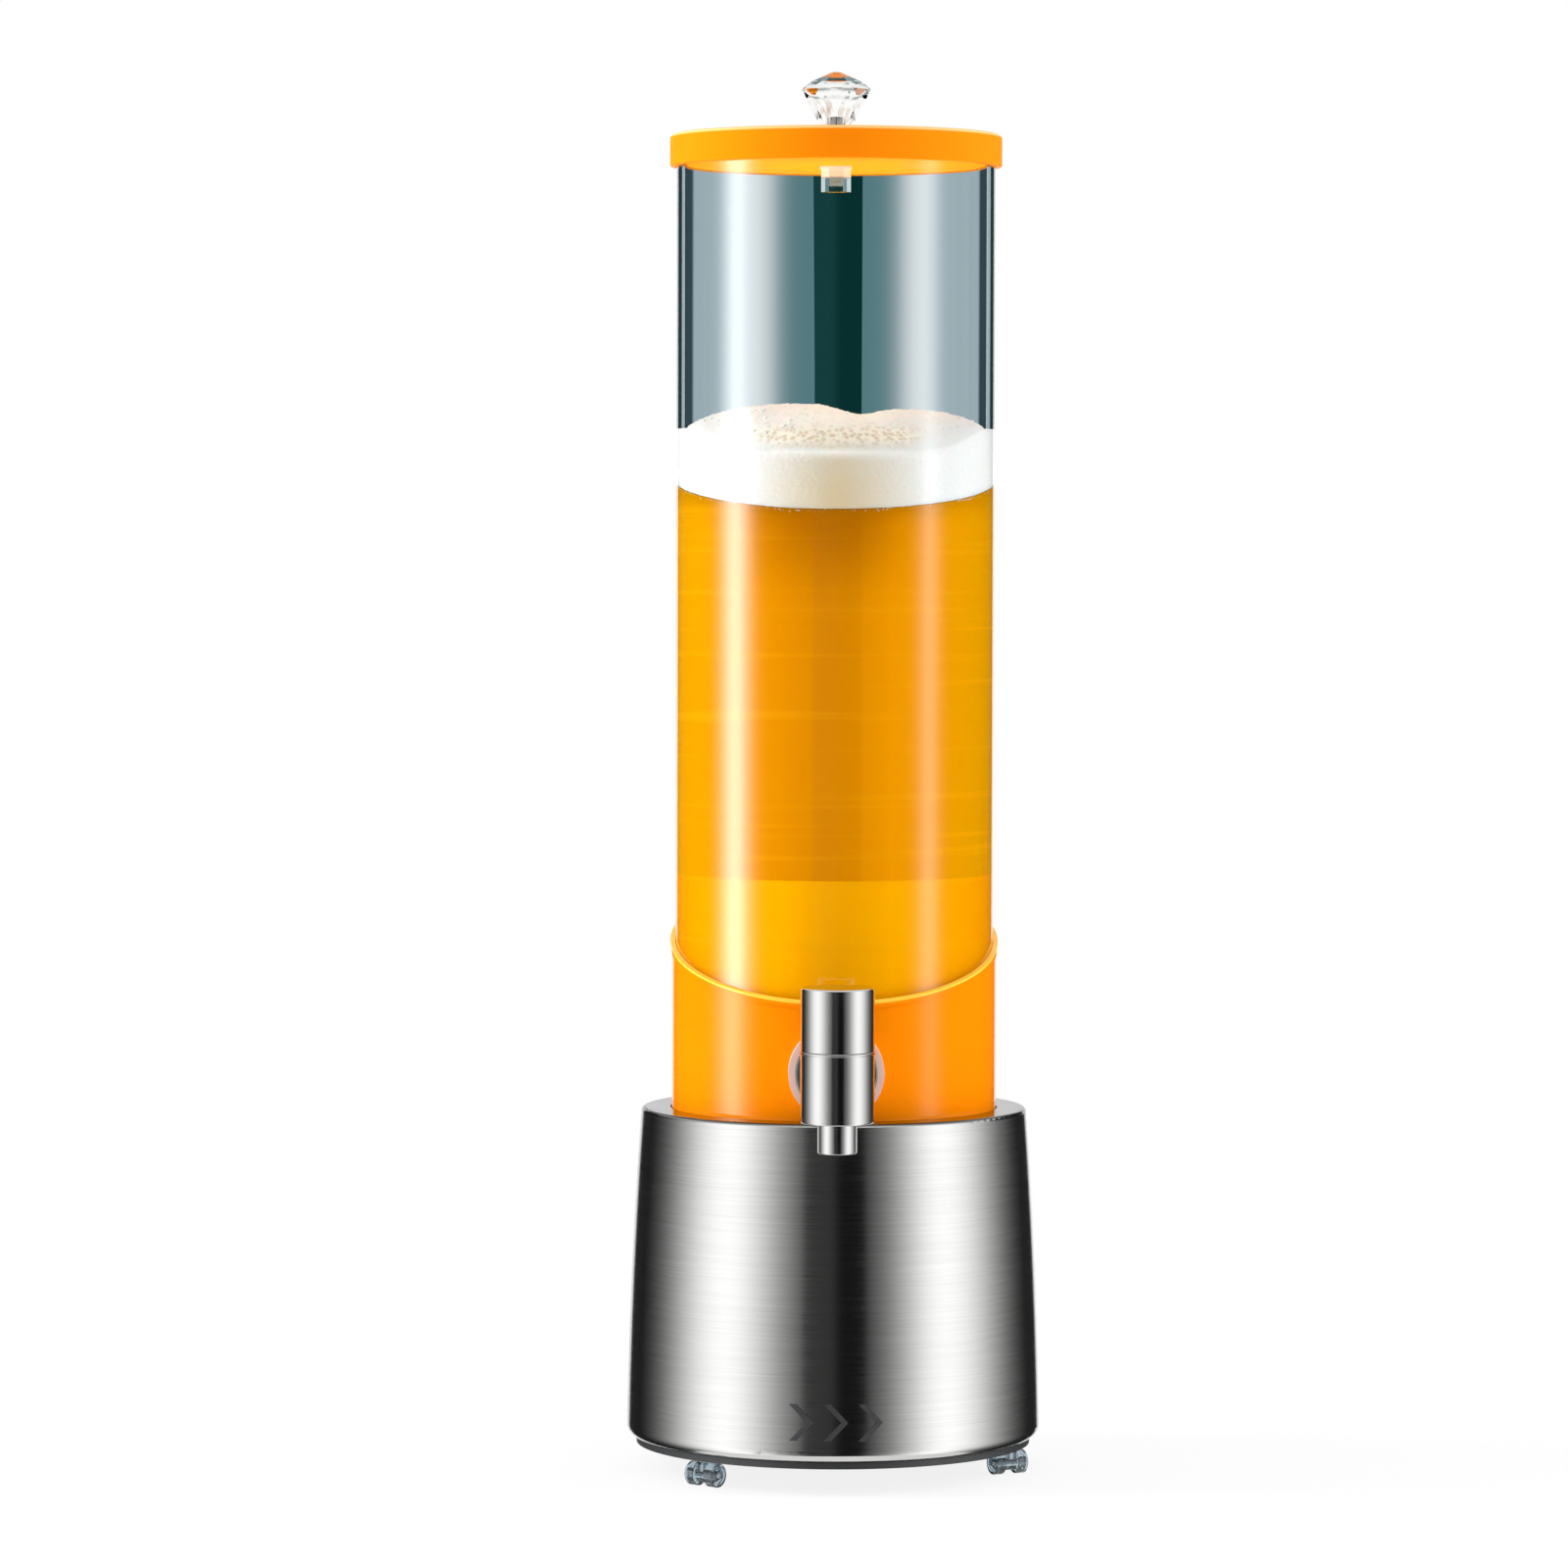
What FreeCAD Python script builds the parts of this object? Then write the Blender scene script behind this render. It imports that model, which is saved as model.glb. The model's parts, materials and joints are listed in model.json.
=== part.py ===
import FreeCAD, Part
import math
import operator
import os
import types

import Sketcher

# Beer tower dispenser: a clear tube of beer in a sleeve on a steel base, with a lid, a quarter-turn tap
# in front and three twin-wheel casters. Millimetres, +Z up, the tube's axis on Z, the table at Z = 0 and
# the tap towards -Y.

# Driving sizes, in millimetres, degrees and counts
SIZES = {
    # tube and what it holds
    "tube_diameter": 120.0,
    "tube_wall": 3.0,
    "tube_length": 362.5,
    "tube_edge_round": 0.8,
    "beer_depth": 228.5,
    "foam_rim_height": 18.0,
    "foam_crown_height": 32.0,
    "liquid_gap": 0.1,
    # sleeve with the tank floor
    "sleeve_wall": 1.2,
    "sleeve_front_height": 53.5,
    "sleeve_back_height": 92.5,
    "sleeve_bond_gap": 0.1,
    "bead_height": 2.4,
    "bead_proud": 0.6,
    "skirt_wall": 3.2,
    "ledge_height": 9.5,
    "floor_thickness": 3.0,
    "floor_rise": 2.5,
    "floor_fit": 0.4,
    "foot_seal_thickness": 1.5,
    "sleeve_boss_radius": 4.5,
    "sleeve_boss_circle": 40.0,
    "sleeve_screw_count": 4,
    "sleeve_screw_length": 11.5,
    # base shell
    "shell_height": 124.6,
    "shell_top_width": 10.9,
    "shell_flare": 5.5,
    "shell_bow": 0.9,
    "shell_skin": 1.0,
    "shell_foot_round": 4.5,
    "shell_shoulder_round": 1.6,
    "shell_hole_gap": 0.5,
    # base core
    "core_wall": 2.5,
    "core_deck": 4.0,
    "core_rim_depth": 8.5,
    "core_rim_wall": 3.8,
    "core_seat_gap": 0.4,
    "core_boss_radius": 4.2,
    "core_boss_overlap": 0.7,
    "core_boss_height": 16.0,
    # bottom plate, weight and their screws
    "plate_rim_height": 2.4,
    "plate_rim_overhang": 0.9,
    "plate_step_height": 1.6,
    "plate_step_gap": 0.5,
    "plate_screw_count": 6,
    "plate_screw_length": 12.0,
    "weight_side_gap": 1.8,
    "weight_thickness": 8.0,
    "weight_screw_circle": 34.0,
    "weight_screw_count": 3,
    "screw_radius": 2.0,
    "screw_head_radius": 3.8,
    "screw_head_height": 2.4,
    "screw_socket": 2.5,
    "screw_socket_depth": 1.4,
    "thread_gap": 0.05,
    "screw_hole_gap": 0.2,
    # direction marks
    "mark_level": 15.3,
    "mark_pitch": 12.8,
    "mark_height": 13.5,
    "mark_width": 9.0,
    "mark_stroke": 2.6,
    "mark_proud": 0.35,
    # casters
    "caster_boss_gap": 0.6,
    "caster_first_angle": 226.0,
    "caster_count": 3,
    "caster_front_left_heading": 230.0,
    "caster_right_heading": 295.0,
    "caster_rear_heading": 120.0,
    "caster_trail": 3.5,
    "wheel_radius": 4.5,
    "wheel_width": 4.2,
    "wheel_edge_round": 0.6,
    "wheel_rim_width": 1.2,
    "wheel_hub_radius": 2.4,
    "wheel_dish_depth": 0.8,
    "wheel_side_gap": 0.3,
    "wheel_top_gap": 0.4,
    "axle_radius": 1.0,
    "axle_end_inset": 0.3,
    "housing_width": 4.4,
    "housing_nose_radius": 3.1,
    "housing_heel": 2.6,
    "housing_head_gap": 0.2,
    "housing_crown": 1.4,
    "stem_radius": 1.75,
    "stem_seat_depth": 4.2,
    "stem_head_radius": 2.6,
    "stem_head_height": 1.2,
    "stem_head_gap": 0.2,
    "socket_radius": 3.6,
    "socket_flange_radius": 5.0,
    "socket_flange_height": 0.6,
    "socket_length": 10.0,
    "caster_boss_radius": 5.4,
    "running_gap": 0.05,
    # lid
    "lid_wall": 2.1,
    "lid_height": 12.1,
    "lid_plate": 2.5,
    "lid_edge_round": 1.6,
    "lid_rim_round": 0.8,
    "lid_slip_gap": 0.4,
    "plug_gap": 0.6,
    "plug_wall": 2.4,
    "plug_floor": 2.0,
    "plug_rim_inset": 0.2,
    "lid_seal_height": 3.0,
    "lid_seal_depth": 1.4,
    "lid_seal_gap": 0.3,
    "lid_seal_drop": 2.6,
    # knob and its stud
    "knob_height": 23.5,
    "knob_neck_radius": 5.5,
    "knob_neck_height": 1.0,
    "knob_girdle_radius": 13.15,
    "knob_girdle_level": 15.2,
    "knob_girdle_height": 2.4,
    "knob_break_radius": 10.6,
    "knob_break_level": 19.6,
    "knob_table_radius": 1.6,
    "knob_facet_count": 8,
    "stud_radius": 2.5,
    "stud_grip": 7.0,
    "stud_tail": 6.5,
    "plug_boss_radius": 6.0,
    "knob_washer_radius": 6.0,
    "knob_washer_thickness": 1.0,
    "knob_nut_flats": 9.7,
    "knob_nut_height": 8.6,
    # tap
    "tap_stand_off": 8.25,
    "tap_radius": 13.55,
    "tap_body_below": 15.9,
    "tap_body_above": 9.2,
    "tap_edge_round": 0.6,
    "split_ring_height": 1.0,
    "split_ring_proud": 0.35,
    "split_ring_spigot": 3.0,
    "split_ring_spigot_wall": 1.45,
    "handle_height": 23.3,
    "handle_gap": 0.2,
    "handle_edge_round": 0.9,
    "handle_bore_depth": 14.0,
    "handle_hub_wall": 3.45,
    "handle_wall": 1.75,
    "handle_recess_depth": 3.6,
    "stop_rib_width": 1.6,
    "stop_rib_gap": 0.2,
    "stop_pin_radius": 0.9,
    "stop_pin_length": 3.0,
    "stop_pin_grip": 0.7,
    "handle_travel": 90.0,
    "grub_radius": 1.5,
    "grub_length": 7.0,
    "grub_level": 9.0,
    "grub_socket": 1.5,
    "grub_socket_depth": 1.2,
    "valve_radius": 8.0,
    "valve_below": 8.5,
    "valve_end_gap": 0.2,
    "spindle_radius": 5.0,
    "spindle_flat_depth": 1.0,
    "spindle_end_gap": 0.5,
    "port_radius": 3.5,
    "ring_section": 0.6,
    "ring_upper_drop": 1.1,
    "ring_lower_rise": 2.4,
    "nozzle_bore": 5.0,
    "nozzle_wall": 2.3,
    "nozzle_length": 11.1,
    "nozzle_spigot_wall": 1.2,
    "nozzle_spigot": 4.4,
    "nozzle_edge_round": 0.5,
    "shank_radius": 7.9,
    "shank_tail": 2.3,
    "shank_spigot": 3.5,
    "flange_radius": 15.15,
    "flange_thickness": 3.0,
    "flange_edge_round": 0.8,
    "wall_hole_gap": 0.3,
    "outer_gasket_radius": 17.75,
    "outer_gasket_lift": 0.25,
    "outer_gasket_thickness": 1.9,
    "gasket_film": 0.05,
    "inner_gasket_lift": 1.9,
    "inner_gasket_thickness": 4.0,
    "shank_washer_inset": 0.8,
    "shank_washer_thickness": 1.2,
    "lock_nut_flats": 22.0,
    "lock_nut_height": 6.0,
    "hardware_room": 0.5,
}

FULL_TURN = 360
HALF_TURN = FULL_TURN / 2
QUARTER_TURN = FULL_TURN / 4
HEXAGON_SIDES = 6

# The least volume, in cubic millimetres, that a cut has to remove
LEAST_CUT = 1e-3

SIGNS = {"+": operator.add, "-": operator.sub, "*": operator.mul, "/": operator.truediv}


class Size:
    """A number together with the sheet formula that gives it."""

    def __init__(self, value, formula):
        self.value = float(value)
        self.formula = formula

    def __add__(self, other):
        return joined(self, "+", other)

    def __radd__(self, other):
        return joined(other, "+", self)

    def __sub__(self, other):
        return joined(self, "-", other)

    def __rsub__(self, other):
        return joined(other, "-", self)

    def __mul__(self, other):
        return joined(self, "*", other)

    def __rmul__(self, other):
        return joined(other, "*", self)

    def __truediv__(self, other):
        return joined(self, "/", other)

    def __rtruediv__(self, other):
        return joined(other, "/", self)

    def __neg__(self):
        return joined(0, "-", self)


def as_size(number):
    return number if isinstance(number, Size) else Size(number, f"({float(number)!r})")


def joined(left, sign, right):
    left = as_size(left)
    right = as_size(right)
    value = SIGNS[sign](left.value, right.value)
    return Size(value, f"({left.formula} {sign} {right.formula})")


def root(size):
    return Size(math.sqrt(size.value), f"sqrt({size.formula})")


def cosine(angle):
    angle = as_size(angle)
    return Size(math.cos(math.radians(angle.value)), f"cos({angle.formula})")


def sine(angle):
    angle = as_size(angle)
    return Size(math.sin(math.radians(angle.value)), f"sin({angle.formula})")


def make_sheet(doc):
    """Write the driving sizes to the sheet and give them back by name."""
    sheet = doc.addObject("Spreadsheet::Sheet", "Sizes")
    named = types.SimpleNamespace()
    for row, (name, value) in enumerate(SIZES.items(), start=1):
        sheet.set(f"A{row}", name)
        sheet.set(f"B{row}", str(value))
        sheet.setAlias(f"B{row}", name)
        setattr(named, name, Size(value, f"Sizes.{name}"))
    doc.recompute()
    return named


doc = FreeCAD.newDocument("beer_tower")
s = make_sheet(doc)


# Sketches

class Arc:
    """An arc between two points of an outline; a positive radius turns left."""

    def __init__(self, radius):
        self.radius = as_size(radius)


class Disc:
    """A circle of a sketch."""

    def __init__(self, x, y, radius):
        self.x = as_size(x)
        self.y = as_size(y)
        self.radius = as_size(radius)


def direction(start, end):
    """The signs of a run along X or along Y."""
    run_x = as_size(end[0]).value - as_size(start[0]).value
    run_y = as_size(end[1]).value - as_size(start[1]).value
    if abs(run_x) > abs(run_y):
        return math.copysign(1, run_x), 0
    return 0, math.copysign(1, run_y)


def rounded(outline):
    """Replace each (x, y, radius), a square corner, by two points with an arc between them."""
    steps = []
    count = len(outline)
    for index, item in enumerate(outline):
        if isinstance(item, Arc) or len(item) == 2:
            steps.append(item)
            continue
        x, y, radius = item
        into = direction(outline[index - 1], item)
        out = direction(item, outline[(index + 1) % count])
        turn = into[0] * out[1] - into[1] * out[0]
        steps.append((x - radius * into[0], y - radius * into[1]))
        steps.append(Arc(radius * turn))
        steps.append((x + radius * out[0], y + radius * out[1]))
    return steps


def arc_geometry(start, end, radius):
    """The shorter arc between two points, always counter-clockwise as sketches keep it."""
    if radius < 0:
        start, end = end, start
    half = (end - start) / 2
    rise = math.sqrt(max(radius ** 2 - half.Length ** 2, 0.0))
    normal = FreeCAD.Vector(-half.y, half.x, 0).normalize()
    centre = start + half + normal * rise
    circle = Part.Circle(centre, FreeCAD.Vector(0, 0, 1), abs(radius))
    first = math.atan2(start.y - centre.y, start.x - centre.x)
    last = math.atan2(end.y - centre.y, end.x - centre.x)
    return Part.ArcOfCircle(circle, first, last)


def hold(sketch, kind, *parts):
    """Add one measured constraint and tie it to its formula."""
    *where, size = parts
    size = as_size(size)
    index = sketch.addConstraint(Sketcher.Constraint(kind, *where, size.value))
    if "Sizes." in size.formula:
        sketch.setExpression(f"Constraints[{index}]", size.formula)


def draw_outline(sketch, outline):
    steps = rounded(outline)
    points = []
    bows = []
    for item in steps:
        if isinstance(item, Arc):
            bows[-1] = item.radius
        else:
            points.append((as_size(item[0]), as_size(item[1])))
            bows.append(None)
    places = [FreeCAD.Vector(x.value, y.value, 0) for x, y in points]
    edges = []
    for index, bow in enumerate(bows):
        start = places[index]
        end = places[(index + 1) % len(places)]
        if bow is None:
            edge = sketch.addGeometry(Part.LineSegment(start, end))
        else:
            edge = sketch.addGeometry(arc_geometry(start, end, bow.value))
        clockwise = bow is not None and bow.value < 0
        edges.append((edge, 2, 1) if clockwise else (edge, 1, 2))
    for index, (edge, start, end) in enumerate(edges):
        next_edge, next_start, _ = edges[(index + 1) % len(edges)]
        sketch.addConstraint(Sketcher.Constraint("Coincident", edge, end, next_edge, next_start))
        hold(sketch, "DistanceX", edge, start, points[index][0])
        hold(sketch, "DistanceY", edge, start, points[index][1])
        if bows[index] is not None:
            bow = bows[index]
            hold(sketch, "Radius", edge, bow if bow.value > 0 else -bow)


def draw_disc(sketch, disc):
    centre = FreeCAD.Vector(disc.x.value, disc.y.value, 0)
    circle = Part.Circle(centre, FreeCAD.Vector(0, 0, 1), disc.radius.value)
    edge = sketch.addGeometry(circle)
    hold(sketch, "DistanceX", edge, 3, disc.x)
    hold(sketch, "DistanceY", edge, 3, disc.y)
    hold(sketch, "Radius", edge, disc.radius)


def bind(thing, name, size):
    """Tie one property to a formula."""
    thing.setExpression(name, as_size(size).formula)


def origin_feature(body, role):
    return next(item for item in body.Origin.OriginFeatures if item.Role == role)


def sketch_on(body, role, shapes, offset=0):
    """A sketch on one of the body's own planes, moved along the plane's normal by the offset."""
    sketch = body.newObject("Sketcher::SketchObject", f"{body.Label}_sketch")
    sketch.AttachmentSupport = (origin_feature(body, role), [""])
    sketch.MapMode = "FlatFace"
    bind(sketch, "AttachmentOffset.Base.z", offset)
    for shape in shapes:
        if isinstance(shape, Disc):
            draw_disc(sketch, shape)
        else:
            draw_outline(sketch, shape)
    return sketch


# Features

PARTS = {}


def new_body(label, x=0, y=0, z=0, axis=(0, 0, 1), turn=0):
    """An empty body, placed by formulas; its label names the part's file."""
    body = doc.addObject("PartDesign::Body", label)
    body.Label = label
    body.Placement = FreeCAD.Placement(
        FreeCAD.Vector(as_size(x).value, as_size(y).value, as_size(z).value),
        FreeCAD.Rotation(FreeCAD.Vector(*axis), as_size(turn).value),
    )
    for name, size in (("x", x), ("y", y), ("z", z)):
        bind(body, f"Placement.Base.{name}", size)
    if isinstance(turn, Size):
        bind(body, "Placement.Rotation.Angle", turn)
    PARTS[label] = body
    return body


def turned(body, outline, role="XZ_Plane"):
    """Turn an outline of (radius, height) about the body's Z axis, or about Y on the XY plane."""
    sketch = sketch_on(body, role, [outline])
    feature = body.newObject("PartDesign::Revolution", f"{body.Label}_turned")
    feature.Profile = sketch
    feature.ReferenceAxis = (sketch, ["V_Axis"])
    feature.Angle = FULL_TURN
    doc.recompute()
    return feature


def raised(body, shapes, height, base=0, role="XY_Plane", both_ways=False):
    """Raise a sketch from a plane, or equally to both sides of it."""
    sketch = sketch_on(body, role, shapes, base)
    feature = body.newObject("PartDesign::Pad", f"{body.Label}_raised")
    feature.Profile = sketch
    feature.Midplane = both_ways
    bind(feature, "Length", height)
    doc.recompute()
    return feature


def cut(body, shapes, depth=None, base=0, role="XY_Plane", forward=False, both_ways=False):
    """Cut a sketch's area away, through all or to a depth, and see that it removed something."""
    before = body.Shape.Volume
    sketch = sketch_on(body, role, shapes, base)
    feature = body.newObject("PartDesign::Pocket", f"{body.Label}_cut")
    feature.Profile = sketch
    feature.Midplane = both_ways
    feature.Reversed = forward
    if depth is None:
        feature.Type = "ThroughAll"
    else:
        bind(feature, "Length", depth)
    doc.recompute()
    if body.Shape.Volume > before - LEAST_CUT:
        raise RuntimeError(f"a cut of {body.Label} removed nothing")
    return feature


def repeated(body, features, count):
    """Repeat features all round the body's Z axis."""
    pattern = body.newObject("PartDesign::PolarPattern", f"{body.Label}_pattern")
    pattern.Originals = features
    pattern.Axis = (origin_feature(body, "Z_Axis"), [""])
    pattern.Angle = FULL_TURN
    bind(pattern, "Occurrences", count)
    body.Tip = pattern
    doc.recompute()


def hexagon(flats, x=0):
    """Corners of a hexagon by its width across flats, its middle on the X axis."""
    step = FULL_TURN / HEXAGON_SIDES
    reach = flats / 2 / cosine(step / 2)
    angles = [step * side for side in range(HEXAGON_SIDES)]
    return [(x + reach * cosine(angle), reach * sine(angle)) for angle in angles]


def ring_outline(inner, outer, low, high):
    return [(inner, low), (outer, low), (outer, high), (inner, high)]


# Radii and levels that several pieces share

tube_outer = s.tube_diameter / 2
tube_inner = tube_outer - s.tube_wall
sleeve_inner = tube_outer + s.sleeve_bond_gap
sleeve_outer = sleeve_inner + s.sleeve_wall
shell_hole = sleeve_outer + s.shell_hole_gap
shell_top_radius = shell_hole + s.shell_top_width
shell_foot_radius = shell_top_radius + s.shell_flare
core_outer = tube_outer
core_inner = core_outer - s.core_wall
core_boss_circle = core_inner - s.core_boss_radius + s.core_boss_overlap
caster_circle = core_outer + s.caster_boss_gap + s.caster_boss_radius

plate_underside = s.wheel_radius * 2 + s.wheel_top_gap + s.socket_flange_height
shell_foot = plate_underside + s.plate_rim_height
plate_top = shell_foot + s.plate_step_height
shell_top = shell_foot + s.shell_height
core_top = shell_top - s.shell_skin
seat_level = core_top - s.core_rim_depth
ledge_level = seat_level + s.ledge_height
floor_top = ledge_level + s.floor_rise
tube_foot = ledge_level + s.foot_seal_thickness
tube_top = tube_foot + s.tube_length
beer_top = floor_top + s.beer_depth
lid_top = tube_top + s.lid_plate
lid_rim = lid_top - s.lid_height
plug_underside = lid_rim + s.plug_rim_inset
tap_level = shell_top + s.outer_gasket_lift + s.outer_gasket_radius

# Distances in front of the tower's axis, along the tap's shank
outer_gasket_face = sleeve_outer + s.outer_gasket_thickness
flange_face = outer_gasket_face + s.flange_thickness
tap_reach = flange_face + s.tap_stand_off + s.tap_radius
shank_tip = tap_reach - s.tap_radius + s.shank_spigot
inner_gasket_face = tube_inner - s.inner_gasket_thickness
shank_washer_face = inner_gasket_face - s.shank_washer_thickness
lock_nut_face = shank_washer_face - s.lock_nut_height
shank_inner_end = lock_nut_face - s.shank_tail
inner_gasket_radius = tap_level - floor_top - s.inner_gasket_lift

# Radii of the tap's pieces
ring_spigot_radius = s.valve_radius + s.running_gap + s.split_ring_spigot_wall
recess_inner = s.spindle_radius + s.running_gap + s.handle_hub_wall
recess_outer = s.tap_radius - s.handle_wall
nozzle_outer = s.nozzle_bore + s.nozzle_wall
nozzle_spigot_radius = s.nozzle_bore + s.nozzle_spigot_wall

# Levels of the tap, from the shank's axis
body_foot = -s.tap_body_below
body_top = s.tap_body_above
ring_top = body_top + s.split_ring_height
handle_foot = ring_top + s.handle_gap
spigot_foot = body_top - s.split_ring_spigot
valve_top = spigot_foot - s.valve_end_gap
valve_foot = -s.valve_below


# Tank: tube, sleeve with floor, seal, beer and foam

def make_tube():
    body = new_body("tube", z=tube_foot)
    rounding = s.tube_edge_round
    turned(body, [
        (tube_inner, 0),
        (tube_outer, 0),
        (tube_outer, s.tube_length, rounding),
        (tube_inner, s.tube_length, rounding),
    ])
    shank_hole = Disc(0, tap_level - tube_foot, s.shank_radius + s.wall_hole_gap)
    cut(body, [shank_hole], role="XZ_Plane", forward=True)


def rim_band(low_shift, high_shift):
    """A four-sided area right across the sleeve, bounded by lines parallel to its oblique rim."""
    reach = sleeve_outer + s.sleeve_back_height
    middle = (s.sleeve_front_height + s.sleeve_back_height) / 2
    rise = (s.sleeve_back_height - s.sleeve_front_height) / 2 / sleeve_outer * reach
    return [
        (-reach, middle - rise + low_shift),
        (reach, middle + rise + low_shift),
        (reach, middle + rise + high_shift),
        (-reach, middle - rise + high_shift),
    ]


def make_sleeve():
    """The orange sleeve, its oblique rim with a bead, and the tank floor inside it."""
    body = new_body("sleeve", z=seat_level)
    blank_top = s.sleeve_back_height + s.bead_height
    bead_outer = sleeve_outer + s.bead_proud
    turned(body, ring_outline(sleeve_inner, bead_outer, s.ledge_height, blank_top))
    past_the_blank = blank_top * 2
    below_the_bead = rim_band(-s.bead_height - past_the_blank, -s.bead_height)
    cut(body, [below_the_bead], role="YZ_Plane", both_ways=True)
    ledge = s.ledge_height
    skirt_inner = sleeve_outer - s.skirt_wall
    step_radius = tube_inner - s.floor_fit
    turned(body, [
        (skirt_inner, 0),
        (sleeve_outer, 0),
        (sleeve_outer, blank_top),
        (sleeve_inner, blank_top),
        (sleeve_inner, ledge),
        (step_radius, ledge),
        (step_radius, ledge + s.floor_rise),
        (0, ledge + s.floor_rise),
        (0, ledge - s.floor_thickness),
        (skirt_inner, ledge - s.floor_thickness),
    ])
    cut(body, [rim_band(0, past_the_blank)], role="YZ_Plane", both_ways=True)
    boss = raised(body, [Disc(s.sleeve_boss_circle, 0, s.sleeve_boss_radius)], ledge)
    hole = Disc(s.sleeve_boss_circle, 0, s.screw_radius + s.thread_gap)
    pilot = cut(body, [hole], s.sleeve_screw_length - s.core_deck + s.thread_gap, forward=True)
    repeated(body, [boss, pilot], s.sleeve_screw_count)
    shank_hole = Disc(0, tap_level - seat_level, s.shank_radius + s.wall_hole_gap)
    cut(body, [shank_hole], role="XZ_Plane", forward=True)


def make_foot_seal():
    body = new_body("foot_seal", z=ledge_level)
    turned(body, ring_outline(tube_inner, tube_outer, 0, s.foot_seal_thickness))


def make_beer():
    body = new_body("beer", z=floor_top)
    raised(body, [Disc(0, 0, tube_inner - s.liquid_gap)], s.beer_depth)
    hardware = Disc(0, tap_level - floor_top, inner_gasket_radius + s.hardware_room)
    start = shank_inner_end - s.hardware_room
    cut(body, [hardware], role="XZ_Plane", base=start, forward=True)


def make_foam():
    """Foam with a flat foot and a low crown."""
    body = new_body("foam_head", z=beer_top)
    edge = tube_inner - s.liquid_gap
    crown = s.foam_crown_height - s.foam_rim_height
    bow = (edge * edge + crown * crown) / 2 / crown
    turned(body, [
        (0, 0),
        (edge, 0),
        (edge, s.foam_rim_height),
        Arc(bow),
        (0, s.foam_crown_height),
    ])


# Base: steel shell, moulded core, bottom plate, weight, screws and marks

def bow_centre():
    """Centre and radius of the arc that the shell's side follows, in its own frame."""
    chord = root(s.shell_flare * s.shell_flare + s.shell_height * s.shell_height)
    half = chord / 2
    radius = (half * half + s.shell_bow * s.shell_bow) / 2 / s.shell_bow
    back = (radius - s.shell_bow) / chord
    x = (shell_foot_radius + shell_top_radius) / 2 - s.shell_height * back
    y = s.shell_height / 2 - s.shell_flare * back
    return x, y, radius


def side_point(rounding, level, skin):
    """Where a corner rounding, its centre at a level, meets the side, as deep as the skin."""
    x, y, radius = bow_centre()
    inner = radius - rounding
    height = level - y
    across = root(inner * inner - height * height)
    share = (radius - skin) / inner
    return (x + across * share, y + height * share), x + across


def make_shell():
    """The spun steel shell: bowed side, rounded foot and shoulder, flat top with a round hole."""
    body = new_body("base_shell", z=shell_foot)
    height = s.shell_height
    skin = s.shell_skin
    foot = s.shell_foot_round
    shoulder = s.shell_shoulder_round
    bow = bow_centre()[2]
    foot_side, foot_x = side_point(foot, foot, 0)
    foot_side_in, _ = side_point(foot, foot, skin)
    shoulder_side, shoulder_x = side_point(shoulder, height - shoulder, 0)
    shoulder_side_in, _ = side_point(shoulder, height - shoulder, skin)
    turned(body, [
        (foot_x, 0),
        Arc(foot),
        foot_side,
        Arc(bow),
        shoulder_side,
        Arc(shoulder),
        (shoulder_x, height),
        (shell_hole, height),
        (shell_hole, height - skin),
        (shoulder_x, height - skin),
        Arc(skin - shoulder),
        shoulder_side_in,
        Arc(skin - bow),
        foot_side_in,
        Arc(skin - foot),
        (foot_x, skin),
    ])
    return foot_x


def make_core():
    """The moulded core: a round wall, the deck that carries the tank, and a rim round its seat."""
    body = new_body("base_core", z=plate_top)
    top = core_top - plate_top
    seat = seat_level - plate_top
    seat_radius = sleeve_outer + s.core_seat_gap
    rim_outer = seat_radius + s.core_rim_wall
    turned(body, [
        (core_inner, 0),
        (core_outer, 0),
        (core_outer, seat - s.core_deck),
        (rim_outer, seat),
        (rim_outer, top),
        (seat_radius, top),
        (seat_radius, seat),
        (0, seat),
        (0, seat - s.core_deck),
        (core_inner, seat - s.core_deck),
    ])
    through = Disc(s.sleeve_boss_circle, 0, s.screw_radius + s.screw_hole_gap)
    hole = cut(body, [through], s.core_deck, base=seat)
    repeated(body, [hole], s.sleeve_screw_count)
    boss = raised(body, [Disc(core_boss_circle, 0, s.core_boss_radius)], s.core_boss_height)
    pilot_disc = Disc(core_boss_circle, 0, s.screw_radius + s.thread_gap)
    pilot = cut(body, [pilot_disc], s.core_boss_height, forward=True)
    repeated(body, [boss, pilot], s.plate_screw_count)


def polar(circle, angle):
    return circle * cosine(angle), circle * sine(angle)


def make_plate(foot_x):
    """The bottom plate: a rim under the shell's foot, a step inside it, bosses for the casters."""
    body = new_body("bottom_plate", z=plate_underside)
    rim = foot_x + s.plate_rim_overhang
    step = foot_x - s.plate_step_gap
    total = plate_top - plate_underside
    turned(body, [
        (0, 0),
        (rim, 0),
        (rim, s.plate_rim_height),
        (step, s.plate_rim_height),
        (step, total),
        (0, total),
    ])
    for circle, count in (
        (core_boss_circle, s.plate_screw_count),
        (s.weight_screw_circle, s.weight_screw_count),
    ):
        head = Disc(circle, 0, s.screw_head_radius + s.screw_hole_gap)
        shank = Disc(circle, 0, s.screw_radius + s.screw_hole_gap)
        sink = cut(body, [head], s.screw_head_height, forward=True)
        hole = cut(body, [shank], total, forward=True)
        repeated(body, [sink, hole], count)
    x, y = polar(caster_circle, s.caster_first_angle)
    height = s.socket_length
    boss = raised(body, [Disc(x, y, s.caster_boss_radius)], height)
    bore = cut(body, [Disc(x, y, s.socket_radius)], height, forward=True)
    repeated(body, [boss, bore], s.caster_count)


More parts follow.
